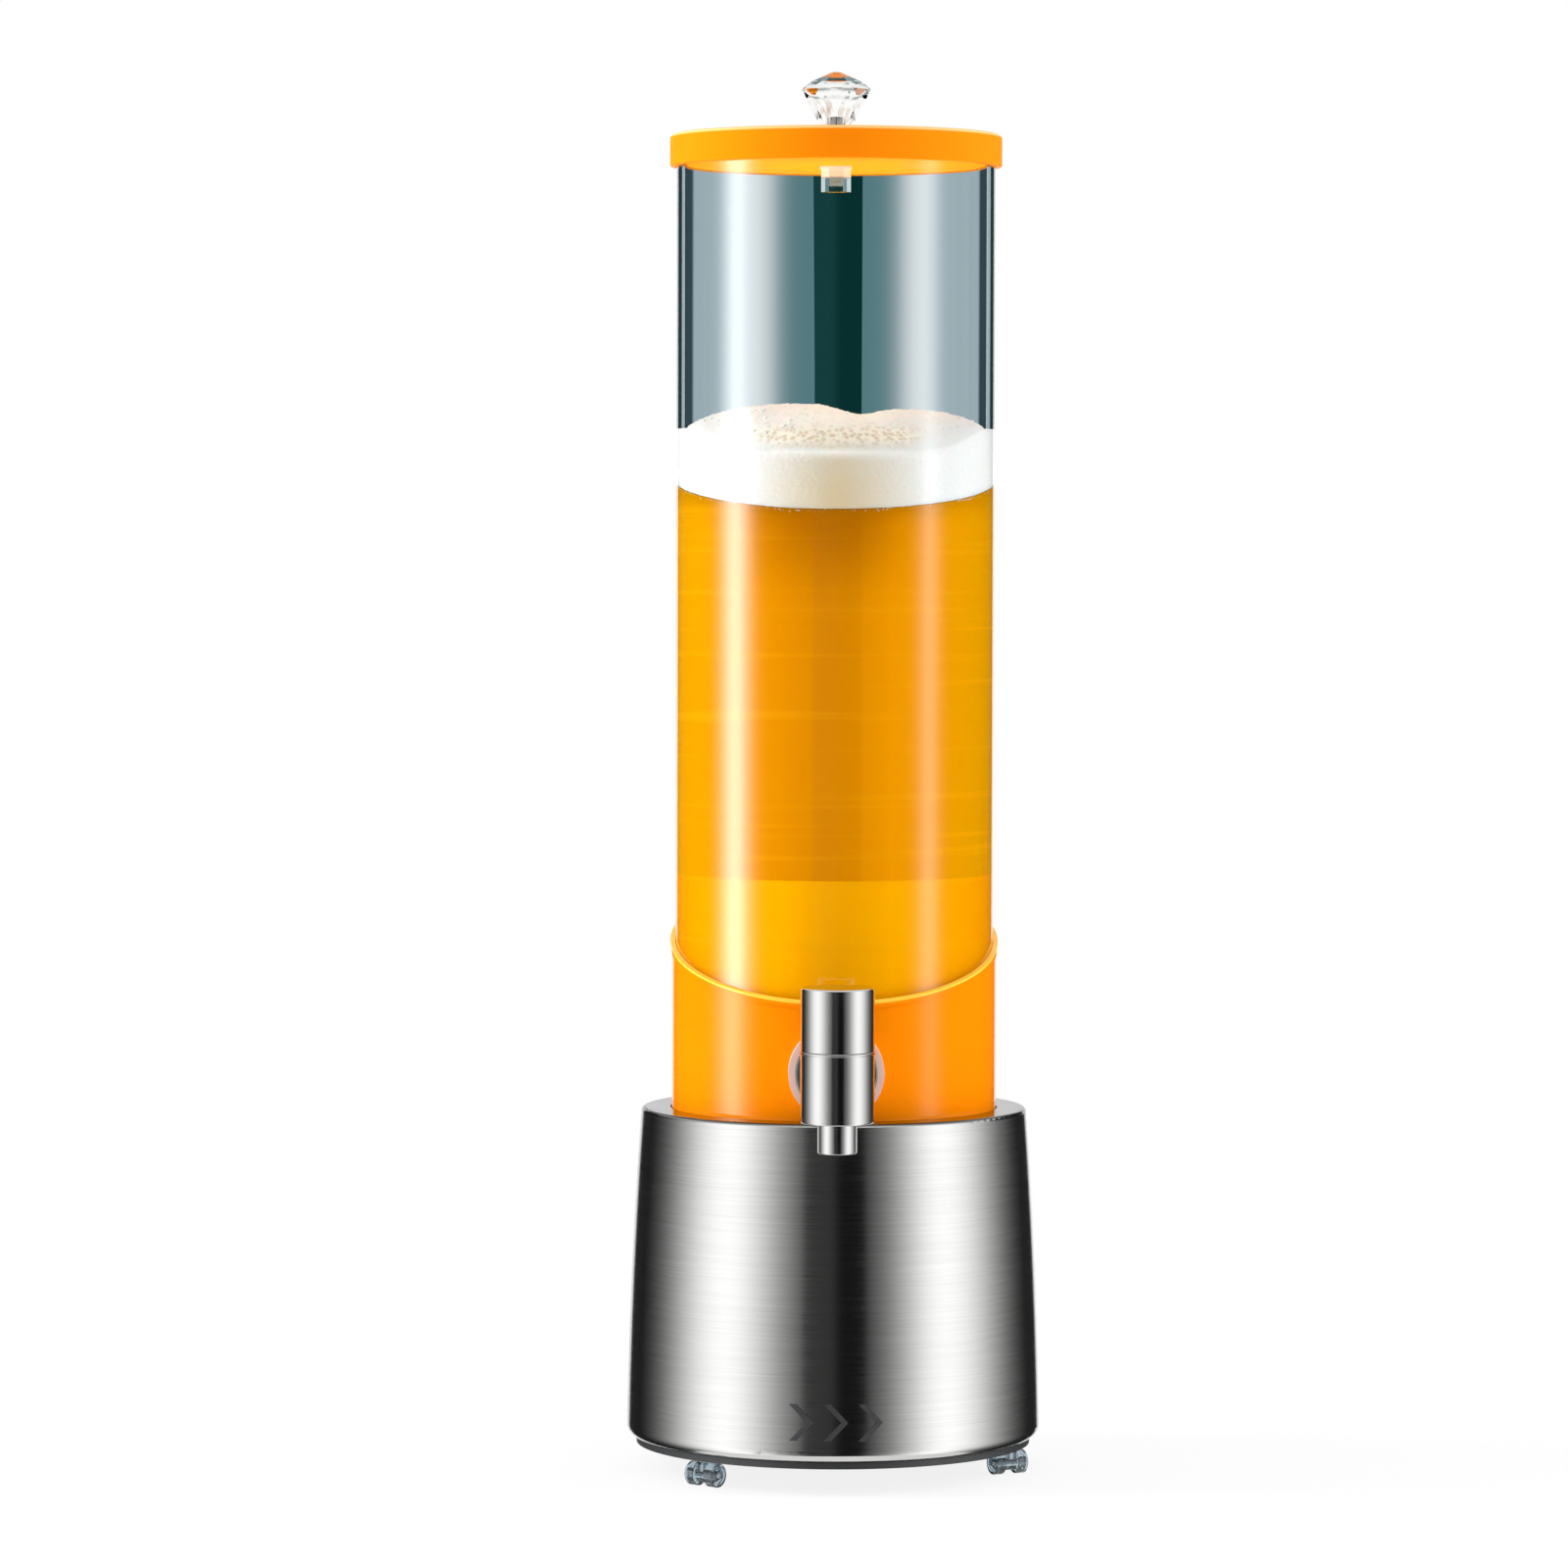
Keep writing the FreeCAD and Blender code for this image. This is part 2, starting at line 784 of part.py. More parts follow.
def make_weight():
    body = new_body("weight_plate", z=plate_top)
    radius = core_boss_circle - s.core_boss_radius - s.weight_side_gap
    raised(body, [Disc(0, 0, radius)], s.weight_thickness)
    disc = Disc(s.weight_screw_circle, 0, s.screw_radius + s.thread_gap)
    hole = cut(body, [disc], s.weight_thickness, forward=True)
    repeated(body, [hole], s.weight_screw_count)


def make_screws(label, level, circle, count, length):
    """A ring of socket screws that point up, their heads below the level."""
    body = new_body(label, z=level)
    shank = raised(body, [Disc(circle, 0, s.screw_radius)], length)
    head = raised(body, [Disc(circle, 0, s.screw_head_radius)], s.screw_head_height,
                  base=-s.screw_head_height)
    socket = cut(body, [hexagon(s.screw_socket, x=circle)], s.screw_socket_depth,
                 base=-s.screw_head_height, forward=True)
    repeated(body, [shank, head, socket], count)


def chevron(x):
    """One plain arrow that points along +X, drawn about the mark level."""
    half = s.mark_height / 2
    left = x - s.mark_width / 2
    level = s.mark_level
    return [
        (left, level - half),
        (left + s.mark_stroke, level - half),
        (left + s.mark_width, level),
        (left + s.mark_stroke, level + half),
        (left, level + half),
        (left + s.mark_width - s.mark_stroke, level),
    ]


def make_marks():
    """Three plain direction arrows, raised a little from the shell's front."""
    body = new_body("direction_marks", z=shell_foot)
    x, y, bow = bow_centre()
    low = s.mark_level - s.mark_height
    high = s.mark_level + s.mark_height
    points = []
    for radius, level in ((bow, low), (bow + s.mark_proud, low),
                          (bow + s.mark_proud, high), (bow, high)):
        height = level - y
        points.append((x + root(radius * radius - height * height), level))
    turned(body, [points[0], points[1], Arc(bow + s.mark_proud), points[2], points[3], Arc(-bow)])
    reach = shell_foot_radius * 2
    frame = [(-reach, low - s.mark_height), (reach, low - s.mark_height),
             (reach, high + s.mark_height), (-reach, high + s.mark_height)]
    cut(body, [frame], role="XZ_Plane")
    arrows = [chevron(s.mark_pitch * step) for step in (-1, 0, 1)]
    cut(body, [frame] + arrows, role="XZ_Plane", forward=True)


# Casters: sockets in the plate, and a stem, a housing, an axle and two wheels for each

def make_sockets():
    body = new_body("caster_sockets", z=plate_underside)
    x, y = polar(caster_circle, s.caster_first_angle)
    flange = raised(body, [Disc(x, y, s.socket_flange_radius)], s.socket_flange_height,
                    base=-s.socket_flange_height)
    tube = raised(body, [Disc(x, y, s.socket_radius)], s.socket_length)
    bore = cut(body, [Disc(x, y, s.stem_radius + s.running_gap)],
               s.socket_length + s.socket_flange_height, base=-s.socket_flange_height, forward=True)
    repeated(body, [flange, tube, bore], s.caster_count)


def make_caster(name, order, heading):
    """One twin-wheel caster; the heading is where its wheels trail."""
    angle = s.caster_first_angle + order * FULL_TURN / s.caster_count
    x, y = polar(caster_circle, angle)
    axle_level = s.wheel_radius
    housing_top = plate_underside - s.socket_flange_height - s.housing_head_gap
    stem_foot = housing_top - s.stem_seat_depth

    housing = new_body(f"caster_housing_{name}", x=x, y=y, turn=heading)
    nose = s.housing_nose_radius
    raised(housing, [[
        (-s.housing_heel, axle_level - s.axle_radius),
        (s.caster_trail, axle_level - nose),
        Arc(nose),
        (s.caster_trail + nose, axle_level),
        (s.caster_trail + nose, housing_top, s.housing_crown),
        (-s.housing_heel, housing_top, s.housing_crown),
    ]], s.housing_width, role="XZ_Plane", both_ways=True)
    cut(housing, [Disc(0, 0, s.stem_radius)], s.stem_seat_depth, base=housing_top)
    cut(housing, [Disc(s.caster_trail, axle_level, s.axle_radius + s.running_gap)],
        role="XZ_Plane", both_ways=True)

    stem = new_body(f"caster_stem_{name}", x=x, y=y, z=stem_foot)
    head_level = plate_underside + s.socket_length + s.stem_head_gap - stem_foot
    raised(stem, [Disc(0, 0, s.stem_radius)], head_level)
    raised(stem, [Disc(0, 0, s.stem_head_radius)], s.stem_head_height, base=head_level)

    trail_x, trail_y = polar(s.caster_trail, heading)
    wheel_centre = {"x": x + trail_x, "y": y + trail_y, "z": axle_level, "turn": heading}
    inside = s.housing_width / 2 + s.wheel_side_gap
    outside = inside + s.wheel_width
    axle = new_body(f"caster_axle_{name}", **wheel_centre)
    axle_length = (outside - s.axle_end_inset) * 2
    raised(axle, [Disc(0, 0, s.axle_radius)], axle_length, role="XZ_Plane", both_ways=True)

    wheels = new_body(f"caster_wheels_{name}", **wheel_centre)
    for way in (1, -1):
        turned(wheels, wheel_outline(inside * way, outside * way, way), role="XY_Plane")


def wheel_outline(inside, outside, way):
    """A wheel's section as (radius, place along the axle): dished round its hub on the outside."""
    rim_inner = s.wheel_radius - s.wheel_rim_width
    dish_floor = outside - s.wheel_dish_depth * way
    return [
        (s.axle_radius, inside),
        (s.wheel_radius, inside, s.wheel_edge_round),
        (s.wheel_radius, outside, s.wheel_edge_round),
        (rim_inner, outside),
        (rim_inner, dish_floor),
        (s.wheel_hub_radius, dish_floor),
        (s.wheel_hub_radius, outside),
        (s.axle_radius, outside),
    ]


# Lid: cap, plug, seal, knob, stud, washer and nut

def make_lid_cap():
    body = new_body("lid_cap", z=lid_rim)
    skirt_inner = tube_outer + s.lid_slip_gap
    skirt_outer = skirt_inner + s.lid_wall
    under = s.lid_height - s.lid_plate
    bore = s.stud_radius + s.screw_hole_gap
    turned(body, [
        (bore, under),
        (skirt_inner, under),
        (skirt_inner, 0),
        (skirt_outer, 0, s.lid_rim_round),
        (skirt_outer, s.lid_height, s.lid_edge_round),
        (bore, s.lid_height),
    ])


def make_lid_plug():
    """The flat plug plate inside the tube, with a wall up to the cap and a groove for the seal."""
    body = new_body("lid_plug", z=plug_underside)
    outer = tube_inner - s.plug_gap
    top = tube_top - plug_underside
    groove = outer - s.lid_seal_depth
    low = s.lid_seal_drop
    high = low + s.lid_seal_height
    bore = s.stud_radius + s.screw_hole_gap
    turned(body, [
        (bore, 0),
        (outer, 0),
        (outer, low),
        (groove, low),
        (groove, high),
        (outer, high),
        (outer, top),
        (outer - s.plug_wall, top),
        (outer - s.plug_wall, s.plug_floor),
        (s.plug_boss_radius, s.plug_floor),
        (s.plug_boss_radius, top),
        (bore, top),
    ])


def make_lid_seal():
    body = new_body("lid_seal", z=plug_underside + s.lid_seal_drop)
    inner = tube_inner - s.plug_gap - s.lid_seal_depth
    outer = tube_inner - s.lid_seal_gap
    middle = s.lid_seal_height / 2
    lip = outer - s.lid_seal_gap
    turned(body, [
        (inner, 0),
        (lip, 0),
        (outer, middle / 2),
        (outer, middle + middle / 2),
        (lip, s.lid_seal_height),
        (inner, s.lid_seal_height),
    ])


def facet(inner_x, inner_y, outer_x, outer_y, far):
    """The area outside a facet's line, which runs from its inner to its outer point."""
    run = outer_x - inner_x
    rise = outer_y - inner_y
    grow = far / run
    return [
        (inner_x - run, inner_y - rise),
        (outer_x + run * grow, outer_y + rise * grow),
        (outer_x + run * grow, inner_y - rise),
    ]


def make_knob():
    """A cut crystal: a turned blank with a row of facets below its girdle and two rows above it."""
    body = new_body("crystal_knob", z=lid_top)
    girdle_low = s.knob_girdle_level
    girdle_high = girdle_low + s.knob_girdle_height
    turned(body, [
        (0, 0),
        (s.knob_neck_radius, 0),
        (s.knob_neck_radius, s.knob_neck_height),
        (s.knob_girdle_radius, girdle_low),
        (s.knob_girdle_radius, girdle_high),
        (s.knob_break_radius, s.knob_break_level),
        (s.knob_table_radius, s.knob_height),
        (0, s.knob_height),
    ])
    across_flats = cosine(HALF_TURN / s.knob_facet_count)
    neck = (s.knob_neck_radius * across_flats, s.knob_neck_height)
    girdle_foot = (s.knob_girdle_radius * across_flats, girdle_low)
    girdle_head = (s.knob_girdle_radius * across_flats, girdle_high)
    crown_break = (s.knob_break_radius * across_flats, s.knob_break_level)
    table = (s.knob_table_radius * across_flats, s.knob_height)
    far = s.knob_girdle_radius
    rows = []
    for inner, outer in ((neck, girdle_foot), (crown_break, girdle_head), (table, crown_break)):
        rows.append(cut(body, [facet(*inner, *outer, far)], role="XZ_Plane", both_ways=True))
    repeated(body, rows, s.knob_facet_count)
    cut(body, [Disc(0, 0, s.stud_radius)], s.stud_grip, forward=True)


def make_knob_fastening():
    """The stud through lid and plug, with a washer and a clear nut below."""
    washer_foot = plug_underside - s.knob_washer_thickness
    stud = new_body("knob_stud", z=washer_foot - s.stud_tail)
    length = lid_top + s.stud_grip - washer_foot + s.stud_tail
    raised(stud, [Disc(0, 0, s.stud_radius)], length)
    washer = new_body("knob_washer", z=washer_foot)
    hole = Disc(0, 0, s.stud_radius + s.screw_hole_gap)
    raised(washer, [Disc(0, 0, s.knob_washer_radius), hole], s.knob_washer_thickness)
    nut = new_body("knob_nut", z=washer_foot - s.knob_nut_height)
    raised(nut, [hexagon(s.knob_nut_flats)], s.knob_nut_height)
    thread = Disc(0, 0, s.stud_radius + s.thread_gap)
    cut(nut, [thread], s.stud_tail + s.thread_gap, base=s.knob_nut_height)


# Tap: shank with its gaskets and nut, valve body, nozzle, split ring, valve plug and handle

def shank_body(label):
    """A body whose Z axis runs from the tower's axis to the front along the shank."""
    return new_body(label, z=tap_level, axis=(1, 0, 0), turn=QUARTER_TURN)


def make_shank():
    body = shank_body("tap_shank")
    edge = s.flange_edge_round
    turned(body, [
        (s.port_radius, shank_inner_end),
        (s.shank_radius, shank_inner_end),
        (s.shank_radius, outer_gasket_face),
        (s.flange_radius, outer_gasket_face),
        (s.flange_radius, flange_face, edge),
        (s.shank_radius, flange_face),
        (s.shank_radius, shank_tip),
        (s.port_radius, shank_tip),
    ])


def make_outer_gasket():
    """A gasket with a flat front and a back that follows the sleeve."""
    body = shank_body("outer_gasket")
    bore = Disc(0, 0, s.shank_radius + s.gasket_film)
    depth = outer_gasket_face / 2
    raised(body, [Disc(0, 0, s.outer_gasket_radius), bore], depth, base=outer_gasket_face - depth)
    cut(body, [Disc(0, 0, sleeve_outer + s.gasket_film)], role="XZ_Plane", both_ways=True)


def make_inner_gasket():
    """A gasket with a flat back and a front that follows the tube's inner wall."""
    body = shank_body("inner_gasket")
    bore = Disc(0, 0, s.shank_radius + s.gasket_film)
    raised(body, [Disc(0, 0, inner_gasket_radius), bore], tube_outer - inner_gasket_face,
           base=inner_gasket_face)
    inside = Disc(0, 0, tube_inner - s.gasket_film)
    outside = Disc(0, 0, s.tube_diameter)
    cut(body, [outside, inside], role="XZ_Plane", both_ways=True)


def make_shank_nut():
    washer = shank_body("shank_washer")
    bore = Disc(0, 0, s.shank_radius + s.thread_gap)
    edge = Disc(0, 0, inner_gasket_radius - s.shank_washer_inset)
    raised(washer, [edge, bore], s.shank_washer_thickness, base=shank_washer_face)
    nut = shank_body("lock_nut")
    raised(nut, [hexagon(s.lock_nut_flats), bore], s.lock_nut_height, base=lock_nut_face)


def tap_body_at(label, level=0):
    """A body on the tap's upright axis, its origin at a level from the shank's axis."""
    return new_body(label, y=-tap_reach, z=tap_level + level)


def make_tap_body():
    """The valve body: plug bore from above, nozzle seat below, shank seat at the back."""
    body = tap_body_at("tap_body")
    edge = s.tap_edge_round
    valve_bore = s.valve_radius + s.running_gap
    nozzle_seat = body_foot + s.nozzle_spigot
    bore_foot = valve_foot - s.valve_end_gap
    turned(body, [
        (s.port_radius, nozzle_seat),
        (nozzle_spigot_radius, nozzle_seat),
        (nozzle_spigot_radius, body_foot),
        (s.tap_radius, body_foot, edge),
        (s.tap_radius, body_top),
        (ring_spigot_radius, body_top),
        (ring_spigot_radius, spigot_foot),
        (valve_bore, spigot_foot),
        (valve_bore, bore_foot),
        (s.port_radius, bore_foot),
    ])
    inlet = Disc(0, 0, s.port_radius)
    cut(body, [inlet], role="XZ_Plane", depth=s.tap_radius)
    seat = Disc(0, 0, s.shank_radius)
    cut(body, [seat], role="XZ_Plane", base=shank_tip - tap_reach)


def make_nozzle():
    body = tap_body_at("nozzle")
    foot = body_foot - s.nozzle_length
    edge = s.nozzle_edge_round
    turned(body, [
        (s.nozzle_bore, foot, edge),
        (nozzle_outer, foot, edge),
        (nozzle_outer, body_foot),
        (nozzle_spigot_radius, body_foot),
        (nozzle_spigot_radius, body_foot + s.nozzle_spigot),
        (s.nozzle_bore, body_foot + s.nozzle_spigot),
    ])


def make_split_ring():
    """The bright ring between handle and body, which also keeps the valve plug in."""
    body = tap_body_at("split_ring")
    bore = s.spindle_radius + s.running_gap
    outer = s.tap_radius + s.split_ring_proud
    turned(body, [
        (bore, spigot_foot),
        (ring_spigot_radius, spigot_foot),
        (ring_spigot_radius, body_top),
        (outer, body_top, s.split_ring_proud),
        (outer, ring_top, s.split_ring_proud),
        (bore, ring_top),
    ])
    x, y = stop_pin_place()
    cut(body, [Disc(x, y, s.stop_pin_radius)], s.stop_pin_grip, base=ring_top)


def stop_circle():
    return (recess_inner + recess_outer) / 2


def stop_pin_place():
    """The stop pin stands at the back of the tap, half the travel to one side."""
    return polar(stop_circle(), QUARTER_TURN + s.handle_travel / 2)


def make_stop_pin():
    body = tap_body_at("stop_pin", ring_top - s.stop_pin_grip)
    x, y = stop_pin_place()
    raised(body, [Disc(x, y, s.stop_pin_radius)], s.stop_pin_length)


def make_handle():
    """The turning upper half, with a recess below in which two ribs meet the stop pin."""
    body = tap_body_at("tap_handle", handle_foot)
    height = s.handle_height
    edge = s.handle_edge_round
    bore = s.spindle_radius + s.running_gap
    turned(body, [
        (bore, 0),
        (s.tap_radius, 0),
        (s.tap_radius, height, edge),
        (0, height),
        (0, s.handle_bore_depth),
        (bore, s.handle_bore_depth),
    ])
    recess = [Disc(0, 0, recess_outer), Disc(0, 0, recess_inner)]
    cut(body, recess, s.handle_recess_depth, forward=True)
    for angle in stop_rib_angles():
        add_stop_rib(body, angle)
    cut(body, [Disc(0, s.grub_level, s.grub_radius)], role="XZ_Plane", depth=s.tap_radius)


def stop_rib_angles():
    """Ribs on both sides of the stop pin: near it at rest, and a travel further on."""
    clear = s.stop_pin_radius + s.stop_rib_width / 2 + s.stop_rib_gap
    near = clear / stop_circle() * (HALF_TURN / math.pi)
    rest = QUARTER_TURN + s.handle_travel / 2
    return rest + near, rest - s.handle_travel - near


def add_stop_rib(body, angle):
    inner = recess_inner - s.running_gap
    outer = recess_outer + s.running_gap
    half = s.stop_rib_width / 2
    corners = []
    for along, across in ((inner, -half), (outer, -half), (outer, half), (inner, half)):
        x = along * cosine(angle) - across * sine(angle)
        y = along * sine(angle) + across * cosine(angle)
        corners.append((x, y))
    raised(body, [corners], s.handle_recess_depth)


def make_grub_screw():
    """The grub screw at the back of the handle, down to the spindle's flat."""
    body = new_body("handle_grub_screw", y=-tap_reach, z=tap_level + handle_foot + s.grub_level,
                    axis=(1, 0, 0), turn=-QUARTER_TURN)
    tip = s.spindle_radius - s.spindle_flat_depth
    raised(body, [Disc(0, 0, s.grub_radius)], s.grub_length, base=tip)
    cut(body, [hexagon(s.grub_socket)], s.grub_socket_depth, base=tip + s.grub_length)


def make_valve_plug():
    """The plug: a barrel with an L-shaped port, two ring grooves and a spindle with a flat."""
    body = tap_body_at("valve_plug")
    groove = s.valve_radius - s.ring_section * 2 + s.running_gap
    spindle_top = handle_foot + s.handle_bore_depth - s.spindle_end_gap
    outline = [(0, valve_foot), (s.valve_radius, valve_foot)]
    for middle in ring_levels():
        low = middle - s.ring_section
        high = middle + s.ring_section
        outline += [(s.valve_radius, low), (groove, low), (groove, high), (s.valve_radius, high)]
    outline += [
        (s.valve_radius, valve_top),
        (s.spindle_radius, valve_top),
        (s.spindle_radius, spindle_top),
        (0, spindle_top),
    ]
    turned(body, outline)
    cut(body, [Disc(0, 0, s.port_radius)], s.port_radius - valve_foot, base=valve_foot, forward=True)
    cut(body, [Disc(0, 0, s.port_radius)], role="YZ_Plane", forward=True)
    flat = s.spindle_radius - s.spindle_flat_depth
    beyond_the_flat = [ring_outline(flat, s.valve_radius, handle_foot, spindle_top)]
    cut(body, beyond_the_flat, role="YZ_Plane", both_ways=True)


def ring_levels():
    """The middles of the two ring grooves."""
    return valve_foot + s.ring_lower_rise, valve_top - s.ring_upper_drop


def make_plug_rings():
    body = tap_body_at("valve_rings")
    centre = s.valve_radius - s.ring_section + s.running_gap / 2
    side = s.ring_section - s.running_gap
    for middle in ring_levels():
        turned(body, [
            (centre - side, middle),
            Arc(side),
            (centre, middle - side),
            Arc(side),
            (centre + side, middle),
            Arc(side),
            (centre, middle + side),
            Arc(side),
        ])


def check_and_export():
    """Stop on any failed object; then write one file for each part."""
    doc.recompute()
    for item in doc.Objects:
        if "Invalid" in item.State or "Error" in item.State:
            raise RuntimeError(f"{item.Label} failed to compute")
    for label, body in PARTS.items():
        if body.Shape.isNull() or not body.Shape.isValid() or not body.Shape.Solids:
            raise RuntimeError(f"{label} has no sound shape")
    os.makedirs("parts", exist_ok=True)
    for label, body in PARTS.items():
        body.Shape.exportStep(f"parts/{label}.step")
        print(f"{label}: {len(body.Shape.Solids)} solids, {body.Shape.Volume:.1f} mm3")


make_tube()
make_sleeve()
make_foot_seal()
make_beer()
make_foam()

shell_foot_edge = make_shell()
make_core()
make_plate(shell_foot_edge)
make_weight()
make_screws("sleeve_screws", seat_level - s.core_deck, s.sleeve_boss_circle, s.sleeve_screw_count,
            s.sleeve_screw_length)
make_screws("plate_screws", plate_underside + s.screw_head_height, core_boss_circle,
            s.plate_screw_count, s.plate_screw_length)
make_screws("weight_screws", plate_underside + s.screw_head_height, s.weight_screw_circle,
            s.weight_screw_count, s.plate_screw_length)
make_marks()

make_sockets()
make_caster("front_left", 0, s.caster_front_left_heading)
make_caster("right", 1, s.caster_right_heading)
make_caster("rear", 2, s.caster_rear_heading)

make_lid_cap()
make_lid_plug()
make_lid_seal()
make_knob()
make_knob_fastening()

make_shank()
make_outer_gasket()
make_inner_gasket()
make_shank_nut()
make_tap_body()
make_nozzle()
make_split_ring()
make_stop_pin()
make_handle()
make_grub_screw()
make_valve_plug()
make_plug_rings()

check_and_export()
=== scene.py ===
import json
import math
import random

import bpy
from mathutils import Euler, Matrix, Vector, noise


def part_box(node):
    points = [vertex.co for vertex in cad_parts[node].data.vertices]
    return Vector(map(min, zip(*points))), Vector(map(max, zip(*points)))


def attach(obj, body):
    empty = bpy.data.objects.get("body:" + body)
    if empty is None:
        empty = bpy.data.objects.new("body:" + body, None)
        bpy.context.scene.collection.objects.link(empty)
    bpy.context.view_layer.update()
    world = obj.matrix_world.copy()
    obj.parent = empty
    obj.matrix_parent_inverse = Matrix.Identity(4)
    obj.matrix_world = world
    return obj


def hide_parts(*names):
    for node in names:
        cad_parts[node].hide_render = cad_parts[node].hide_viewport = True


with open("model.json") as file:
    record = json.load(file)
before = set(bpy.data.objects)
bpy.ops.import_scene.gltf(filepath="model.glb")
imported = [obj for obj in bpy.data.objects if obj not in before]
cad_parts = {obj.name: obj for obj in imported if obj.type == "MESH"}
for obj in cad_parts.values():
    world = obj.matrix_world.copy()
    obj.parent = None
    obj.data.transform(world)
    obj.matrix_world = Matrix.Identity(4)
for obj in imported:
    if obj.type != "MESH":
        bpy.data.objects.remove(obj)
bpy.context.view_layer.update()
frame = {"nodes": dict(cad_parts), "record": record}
NODES = frame["nodes"]
SLOT_OF = {part["node"]: part["material_slot"] for part in frame["record"]["subparts"]}

TURN = 2 * math.pi


# Node trees

class Tree:
    """A node tree to which nodes are added by name, with their sockets linked or set."""

    def __init__(self, owner):
        owner.use_nodes = True
        self.owner = owner
        self.tree = owner.node_tree
        self.tree.nodes.clear()

    def add(self, kind, sockets=None, **settings):
        node = self.tree.nodes.new("ShaderNode" + kind)
        for name, value in settings.items():
            setattr(node, name, value)
        for name, value in (sockets or {}).items():
            self.put(node.inputs[name], value)
        return node

    def put(self, socket, value):
        if isinstance(value, bpy.types.NodeSocket):
            self.tree.links.new(value, socket)
        else:
            socket.default_value = value

    def math(self, operation, first, second=0.0, clamp=False):
        node = self.add("Math", {0: first, 1: second}, operation=operation, use_clamp=clamp)
        return node.outputs[0]

    def mapped(self, value, low, high, to_low, to_high, smooth=False):
        """value taken from the range low to high to the range to_low to to_high, held at its ends."""
        kind = "SMOOTHSTEP" if smooth else "LINEAR"
        sockets = {"Value": value, "From Min": low, "From Max": high, "To Min": to_low, "To Max": to_high}
        return self.add("MapRange", sockets, interpolation_type=kind).outputs["Result"]

    def mixed(self, share, first, second):
        """A colour between first, at share 0, and second, at share 1."""
        sockets = {"Factor": share, 6: first, 7: second}
        return self.add("Mix", sockets, data_type="RGBA", clamp_factor=True).outputs[2]

    def place(self):
        """Where the point is on the object at rest, in metres."""
        return self.add("TexCoord").outputs["Object"]

    def split(self, vector):
        return self.add("SeparateXYZ", {0: vector}).outputs

    def noise(self, scale, detail=3.0, stretch=(1, 1, 1), shift=0.0, vector=None):
        """Noise with scale features to the metre, squeezed along the axes by stretch."""
        sockets = {0: vector or self.place(), "Scale": stretch, "Location": (shift, shift, shift)}
        place = self.add("Mapping", sockets).outputs[0]
        sockets = {"Vector": place, "Scale": scale, "Detail": detail}
        return self.add("TexNoise", sockets).outputs["Fac"]

    def cells(self, scale, feature="F1"):
        sockets = {"Vector": self.place(), "Scale": scale}
        return self.add("TexVoronoi", sockets, feature=feature).outputs["Distance"]

    def bump(self, height, strength, distance, normal=None):
        sockets = {"Height": height, "Strength": strength, "Distance": distance}
        if normal:
            sockets["Normal"] = normal
        return self.add("Bump", sockets).outputs[0]

    def rays(self, *names):
        """1 for a ray of one of these kinds."""
        path = self.add("LightPath").outputs
        value = path[names[0]]
        for name in names[1:]:
            value = self.math("MAXIMUM", value, path[name])
        return value

    def shader(self, share, first, second):
        return self.add("MixShader", {0: share, 1: first, 2: second}).outputs[0]

    def added(self, first, *others):
        """The sum of values."""
        for other in others:
            first = self.math("ADD", first, other)
        return first

    def times(self, first, second):
        return self.math("MULTIPLY", first, second)

    def bell(self, value, middle, width_below, width_above, peak):
        """A bell curve over value, with its own width on each side of its middle."""
        away = self.math("SUBTRACT", value, middle)
        above = self.math("GREATER_THAN", away, 0.0)
        width = self.mapped(above, 0.0, 1.0, width_below, width_above)
        square = self.math("POWER", self.math("ABSOLUTE", self.math("DIVIDE", away, width)), 2.0)
        return self.times(self.math("POWER", math.e, self.times(square, -1.0)), peak)

    def principled(self, **sockets):
        named = {name.replace("_", " "): value for name, value in sockets.items()}
        return self.add("BsdfPrincipled", named).outputs[0]

    def end(self, surface):
        self.add("OutputMaterial", {"Surface": surface})
        return self.owner


def colour(red, green, blue):
    return (red, green, blue, 1.0)


def scaled(tone, factor):
    return (*(min(1.0, part * factor) for part in tone[:3]), 1.0)


def new_tree(name):
    return Tree(bpy.data.materials.new(name))


SEEN = ("Is Camera Ray", "Is Glossy Ray", "Is Transmission Ray")
LIT_THROUGH = ("Is Shadow Ray", "Is Diffuse Ray")


# Materials of the parts

def moulded(name, tone, rough, grain=900.0, depth=0.02, spread=0.06, **extra):
    """Plastic or rubber: a faint cloud in its colour, uneven gloss and a fine moulded grain."""
    t = new_tree(name)
    cloud = t.noise(38.0, 4.0)
    fine = t.noise(grain, 2.0, shift=3.0)
    base = t.mixed(cloud, scaled(tone, 1 - spread), scaled(tone, 1 + spread))
    gloss = t.mapped(t.noise(120.0, 3.0, shift=7.0), 0.3, 0.7, rough * 0.85, rough * 1.15)
    normal = t.bump(fine, depth, 0.0004)
    return t.end(t.principled(Base_Color=base, Roughness=gloss, Normal=normal, **extra))


def clear(name, tint, rough, ior, shade=0.06, through=(0.9, 0.93, 0.94, 1.0)):
    """Clear plastic or crystal, which lets lamps through to what is behind it."""
    t = new_tree(name)
    base = t.mixed(t.noise(30.0, 2.0), scaled(tint, 1 - shade), tint)
    gloss = t.mapped(t.noise(200.0, 2.0, shift=5.0), 0.35, 0.7, rough * 0.4, rough * 1.4)
    sockets = {"Base_Color": base, "Roughness": gloss, "IOR": ior, "Transmission_Weight": 1.0}
    glass = t.principled(**sockets)
    lit = t.add("BsdfTransparent", {"Color": through}).outputs[0]
    return t.end(t.shader(t.rays(*LIT_THROUGH), glass, lit))


